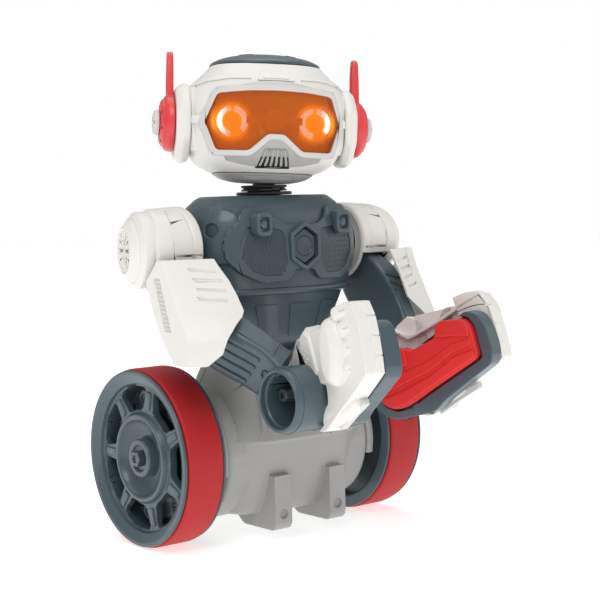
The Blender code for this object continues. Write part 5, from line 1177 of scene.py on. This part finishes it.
for sname, k in SIDES:
    C = (0, 0, WHEEL_R)
    T = lambda prof: [(r, k * a) for r, a in prof]
    tyre = [(40.6, 55.2), (43.9, 55.0), (44.5, 55.3), (44.85, 55.9), (45.0, 57.0), (45.0, 73.2), (44.85, 74.2), (44.5, 74.8), (43.9, 75.1), (40.6, 74.9)]
    emit(f"wheel_tyre_{sname}", bm_turn(T(tyre), C, "X", 144), "tyre", f"wheel_{sname}", [f"tire_{sname}"], smooth=50)
    rim = [(43.6, 52.9), (44.1, 53.2), (44.3, 53.8), (44.0, 54.5), (40.2, 54.9), (40.2, 75.2), (43.9, 75.6), (44.3, 76.1), (44.2, 76.8), (43.7, 77.2), (42.6, 77.3),
           (41.6, 77.0), (38.2, 75.3), (37.5, 74.7), (37.1, 73.2), (36.6, 72.6), (23.6, 72.6), (22.9, 72.9), (22.2, 74.8), (21.6, 75.3), (20.4, 75.4), (19.6, 74.9),
           (18.6, 72.6), (15.6, 69.9), (11.0, 68.9), (10.2, 69.2), (9.8, 70.2), (9.6, 74.8), (9.0, 75.4), (7.2, 75.5), (6.6, 75.1), (6.3, 73.9), (3.2, 73.9),
           (3.2, 58.0), (7.0, 58.0), (8.0, 66.4), (36.0, 69.6), (37.6, 66.0), (37.6, 53.8), (38.4, 52.9)]
    windows = []
    for i in range(7):
        a = 2 * math.pi * (i + 0.5) / 7
        ow = [ring_point(r, a + h) for r, h in ((24.6, 0.27), (30.0, 0.32), (34.6, 0.36), (36.5, 0.27), (37.0, 0.0), (36.5, -0.27), (34.6, -0.36), (30.0, -0.32), (24.6, -0.27), (24.2, 0.0))]
        windows.append(bm_prism(rounded(ow, [2.4, 1, 2.6, 2.6, 1, 2.6, 2.6, 1, 2.4, 1], 4), 64, 80, lambda u, v, d: (k * d, u, v + WHEEL_R)))
    emit(f"wheel_disc_{sname}", csg(bm_turn(T(rim), C, "X", 112), cut=windows), "dark", f"wheel_{sname}", [f"wheel_rim_{sname}"], bevel=0.45, seg=3, angle=42)
    # seven spoke flutes and the pan behind the windows
    flutes = []
    for i in range(7):
        a = 2 * math.pi * i / 7
        o = rounded([ring_point(r, a + h) for r, h in ((25.4, 0.075), (34.6, 0.055), (34.6, -0.055), (25.4, -0.075))], 0.8, 3)
        flutes.append(bm_prism(o, 72.4, 73.4, lambda u, v, d: (k * d, u, v + WHEEL_R), 0, 0.5))
    emit(f"wheel_spoke_ribs_{sname}", join(*flutes), "dark", f"wheel_{sname}")
    pan = bm_turn(T([(8.4, 59.6), (37.3, 59.6), (37.3, 61.4), (36.0, 61.6), (30.0, 61.0), (8.4, 61.0)]), C, "X", 96)
    bosses, screws = [], []
    for i in range(7):
        a = 2 * math.pi * (i + 0.5) / 7
        y, z = 29.6 * math.cos(a), WHEEL_R + 29.6 * math.sin(a)
        bosses.append(bm_turn(T([(0, 60.0), (5.0, 60.0), (4.4, 66.2), (3.9, 66.8), (2.6, 66.8), (2.4, 66.2), (0, 66.2)]), (0, y, z), "X", 28, closed=False))
        if i % 2 == 0:
            screws.append(bm_screw((k * 66.0, y, z), (k, 0, 0), 2.3, 0.9))
        for h in (-0.26, 0.26):
            ca, sa = math.cos(a + h), math.sin(a + h)
            bosses.append(bm_cyl((k * 60.5, 33.2 * ca, WHEEL_R + 33.2 * sa), (k * 64.6, 33.2 * ca, WHEEL_R + 33.2 * sa), 1.5, 14))
    emit(f"wheel_pan_{sname}", join(pan, *bosses), "dark2", f"wheel_{sname}")
    emit(f"wheel_screws_{sname}", join(*screws), "screw", f"wheel_{sname}")
    hexo = [ring_point(4.3, math.pi / 3 * i) for i in range(6)]
    axle = bm_cyl((k * 28.0, 0, WHEEL_R), (k * 76.6, 0, WHEEL_R), 2.85, 32)
    emit(f"axle_shaft_{sname}", join(axle), "steel", f"wheel_{sname}", [f"axle_{sname}"], bevel=0.2)
    nut = csg(bm_prism(hexo, 74.1, 77.9, lambda u, v, d: (k * d, u, v + WHEEL_R), 0, 0.6), cut=[bm_cyl((k * 76.4, 0, WHEEL_R), (k * 80, 0, WHEEL_R), 2.0, 24)])
    emit(f"axle_nut_{sname}", nut, "screw", f"wheel_{sname}", bevel=0.15)
# ------------------------------------------------------------------ hidden works keep their CAD shape, with real finishes
for node, mat in (("drive_motor_left", "steel"), ("drive_motor_right", "steel"), ("head_motor", "steel"), ("main_board", "board"), ("eye_board", "board"),
                  ("battery_1", "jacket"), ("battery_2", "jacket"), ("battery_3", "jacket"), ("battery_4", "jacket"), ("drive_gear_left", "nylon"),
                  ("drive_gear_right", "nylon"), ("pinion_left", "nylon"), ("pinion_right", "nylon"), ("speaker", "black"), ("axle_left", "steel"), ("axle_right", "steel"),
                  ("power_switch", "black"), ("rear_skid", "black"), ("neck_collar", "black")):
    ob = frame["nodes"][node]
    if len(ob.material_slots):
        for sl in ob.material_slots:
            sl.material = M[mat]
    else:
        ob.data.materials.append(M[mat])
SLOT_MAT = {"white_plastic": "white", "grey_plastic": "grey", "dark_plastic": "dark", "black_plastic": "black", "red_rubber": "tyre", "red_plastic": "ear",
            "visor_plastic": "lens", "eye_light": "eye", "circuit_board": "board", "steel": "steel", "motor_can": "steel", "cell_jacket": "jacket", "gear_nylon": "nylon"}
for sp in frame["record"]["subparts"]:
    ob = frame["nodes"][sp["node"]]
    if ob.data.materials and ob.data.materials[0] not in M.values():
        for sl in ob.material_slots:
            sl.material = M[SLOT_MAT[sp["material_slot"]]]

# ------------------------------------------------------------------ stage, light, camera
floor_mat = bpy.data.materials.new("floor_paper")
floor_mat.use_nodes = True
fb = floor_mat.node_tree.nodes["Principled BSDF"]
fn = floor_mat.node_tree.nodes.new("ShaderNodeTexNoise")
fn.inputs["Scale"].default_value = 3.0
fr_ = floor_mat.node_tree.nodes.new("ShaderNodeValToRGB")
fr_.color_ramp.elements[0].color = (0.84, 0.84, 0.84, 1)
fr_.color_ramp.elements[1].color = (0.88, 0.88, 0.88, 1)
floor_mat.node_tree.links.new(fn.outputs["Fac"], fr_.inputs["Fac"])
floor_mat.node_tree.links.new(fr_.outputs["Color"], fb.inputs["Base Color"])
fb.inputs["Roughness"].default_value = 0.85
floor_mat.node_tree.links.new(fr_.outputs["Color"], fb.inputs["Emission Color"])
fb.inputs["Emission Strength"].default_value = 0.74
fb.inputs["Specular IOR Level"].default_value = 0.2
bmf = bmesh.new()
corners = [bmf.verts.new((x, y, 0.0)) for x, y in ((-6.0, -4.0), (6.0, -4.0), (6.0, 8.0), (-6.0, 8.0))]
bmf.faces.new(corners)
bmesh.ops.recalc_face_normals(bmf, faces=bmf.faces)
mef = bpy.data.meshes.new("floor_sweep")
bmf.to_mesh(mef)
bmf.free()
mef.shade_smooth()
mef.materials.append(floor_mat)
floor = bpy.data.objects.new("floor_sweep", mef)
bpy.context.scene.collection.objects.link(floor)

world = bpy.data.worlds.new("studio")
bpy.context.scene.world = world
world.use_nodes = True
wn = world.node_tree
bg = wn.nodes["Background"]
bg.inputs["Color"].default_value = (1.0, 1.0, 1.0, 1)
path = wn.nodes.new("ShaderNodeLightPath")
level = wn.nodes.new("ShaderNodeMapRange")
level.inputs["To Min"].default_value = 0.42
level.inputs["To Max"].default_value = 1.0
wn.links.new(path.outputs["Is Camera Ray"], level.inputs["Value"])
wn.links.new(level.outputs["Result"], bg.inputs["Strength"])
bpy.context.scene.view_settings.view_transform = "Standard"
bpy.context.scene.view_settings.look = "None"


def area(name, loc, target, size, power, size_y=None):
    d = bpy.data.lights.new(name, "AREA")
    d.energy = power
    d.size = size
    if size_y:
        d.shape = "RECTANGLE"
        d.size_y = size_y
    o = bpy.data.objects.new(name, d)
    o.location = loc
    v = Vector(target) - Vector(loc)
    o.rotation_euler = v.to_track_quat("-Z", "Y").to_euler()
    bpy.context.scene.collection.objects.link(o)
    return o


area("key_light", (-0.9, -0.9, 1.5), (0, 0, 0.12), 0.9, 10.5)
area("top_light", (0.1, 0.3, 1.7), (0, 0, 0.1), 1.4, 8.5)
area("fill_light", (1.4, -0.9, 0.7), (0, 0, 0.12), 1.0, 2.2)

cam = bpy.data.cameras.new("camera")
cam.sensor_width = 36.0
cam.lens = 83.04
cam.clip_start = 0.01
cam_ob = bpy.data.objects.new("camera", cam)
az, el, ro = math.radians(-38.778), math.radians(3.733), math.radians(-1.628)
back = Vector((math.sin(az) * math.cos(el), -math.cos(az) * math.cos(el), math.sin(el)))
right0 = Vector((math.cos(az), math.sin(az), 0))
up0 = back.cross(right0)
if up0.z < 0:
    up0 = -up0
R = right0 * math.cos(ro) + up0 * math.sin(ro)
U = -right0 * math.sin(ro) + up0 * math.cos(ro)
cam_ob.matrix_world = Matrix(((R.x, U.x, back.x, -0.4397), (R.y, U.y, back.y, -0.5857 + FY), (R.z, U.z, back.z, 0.1667), (0, 0, 0, 1)))
bpy.context.scene.collection.objects.link(cam_ob)
bpy.context.scene.camera = cam_ob
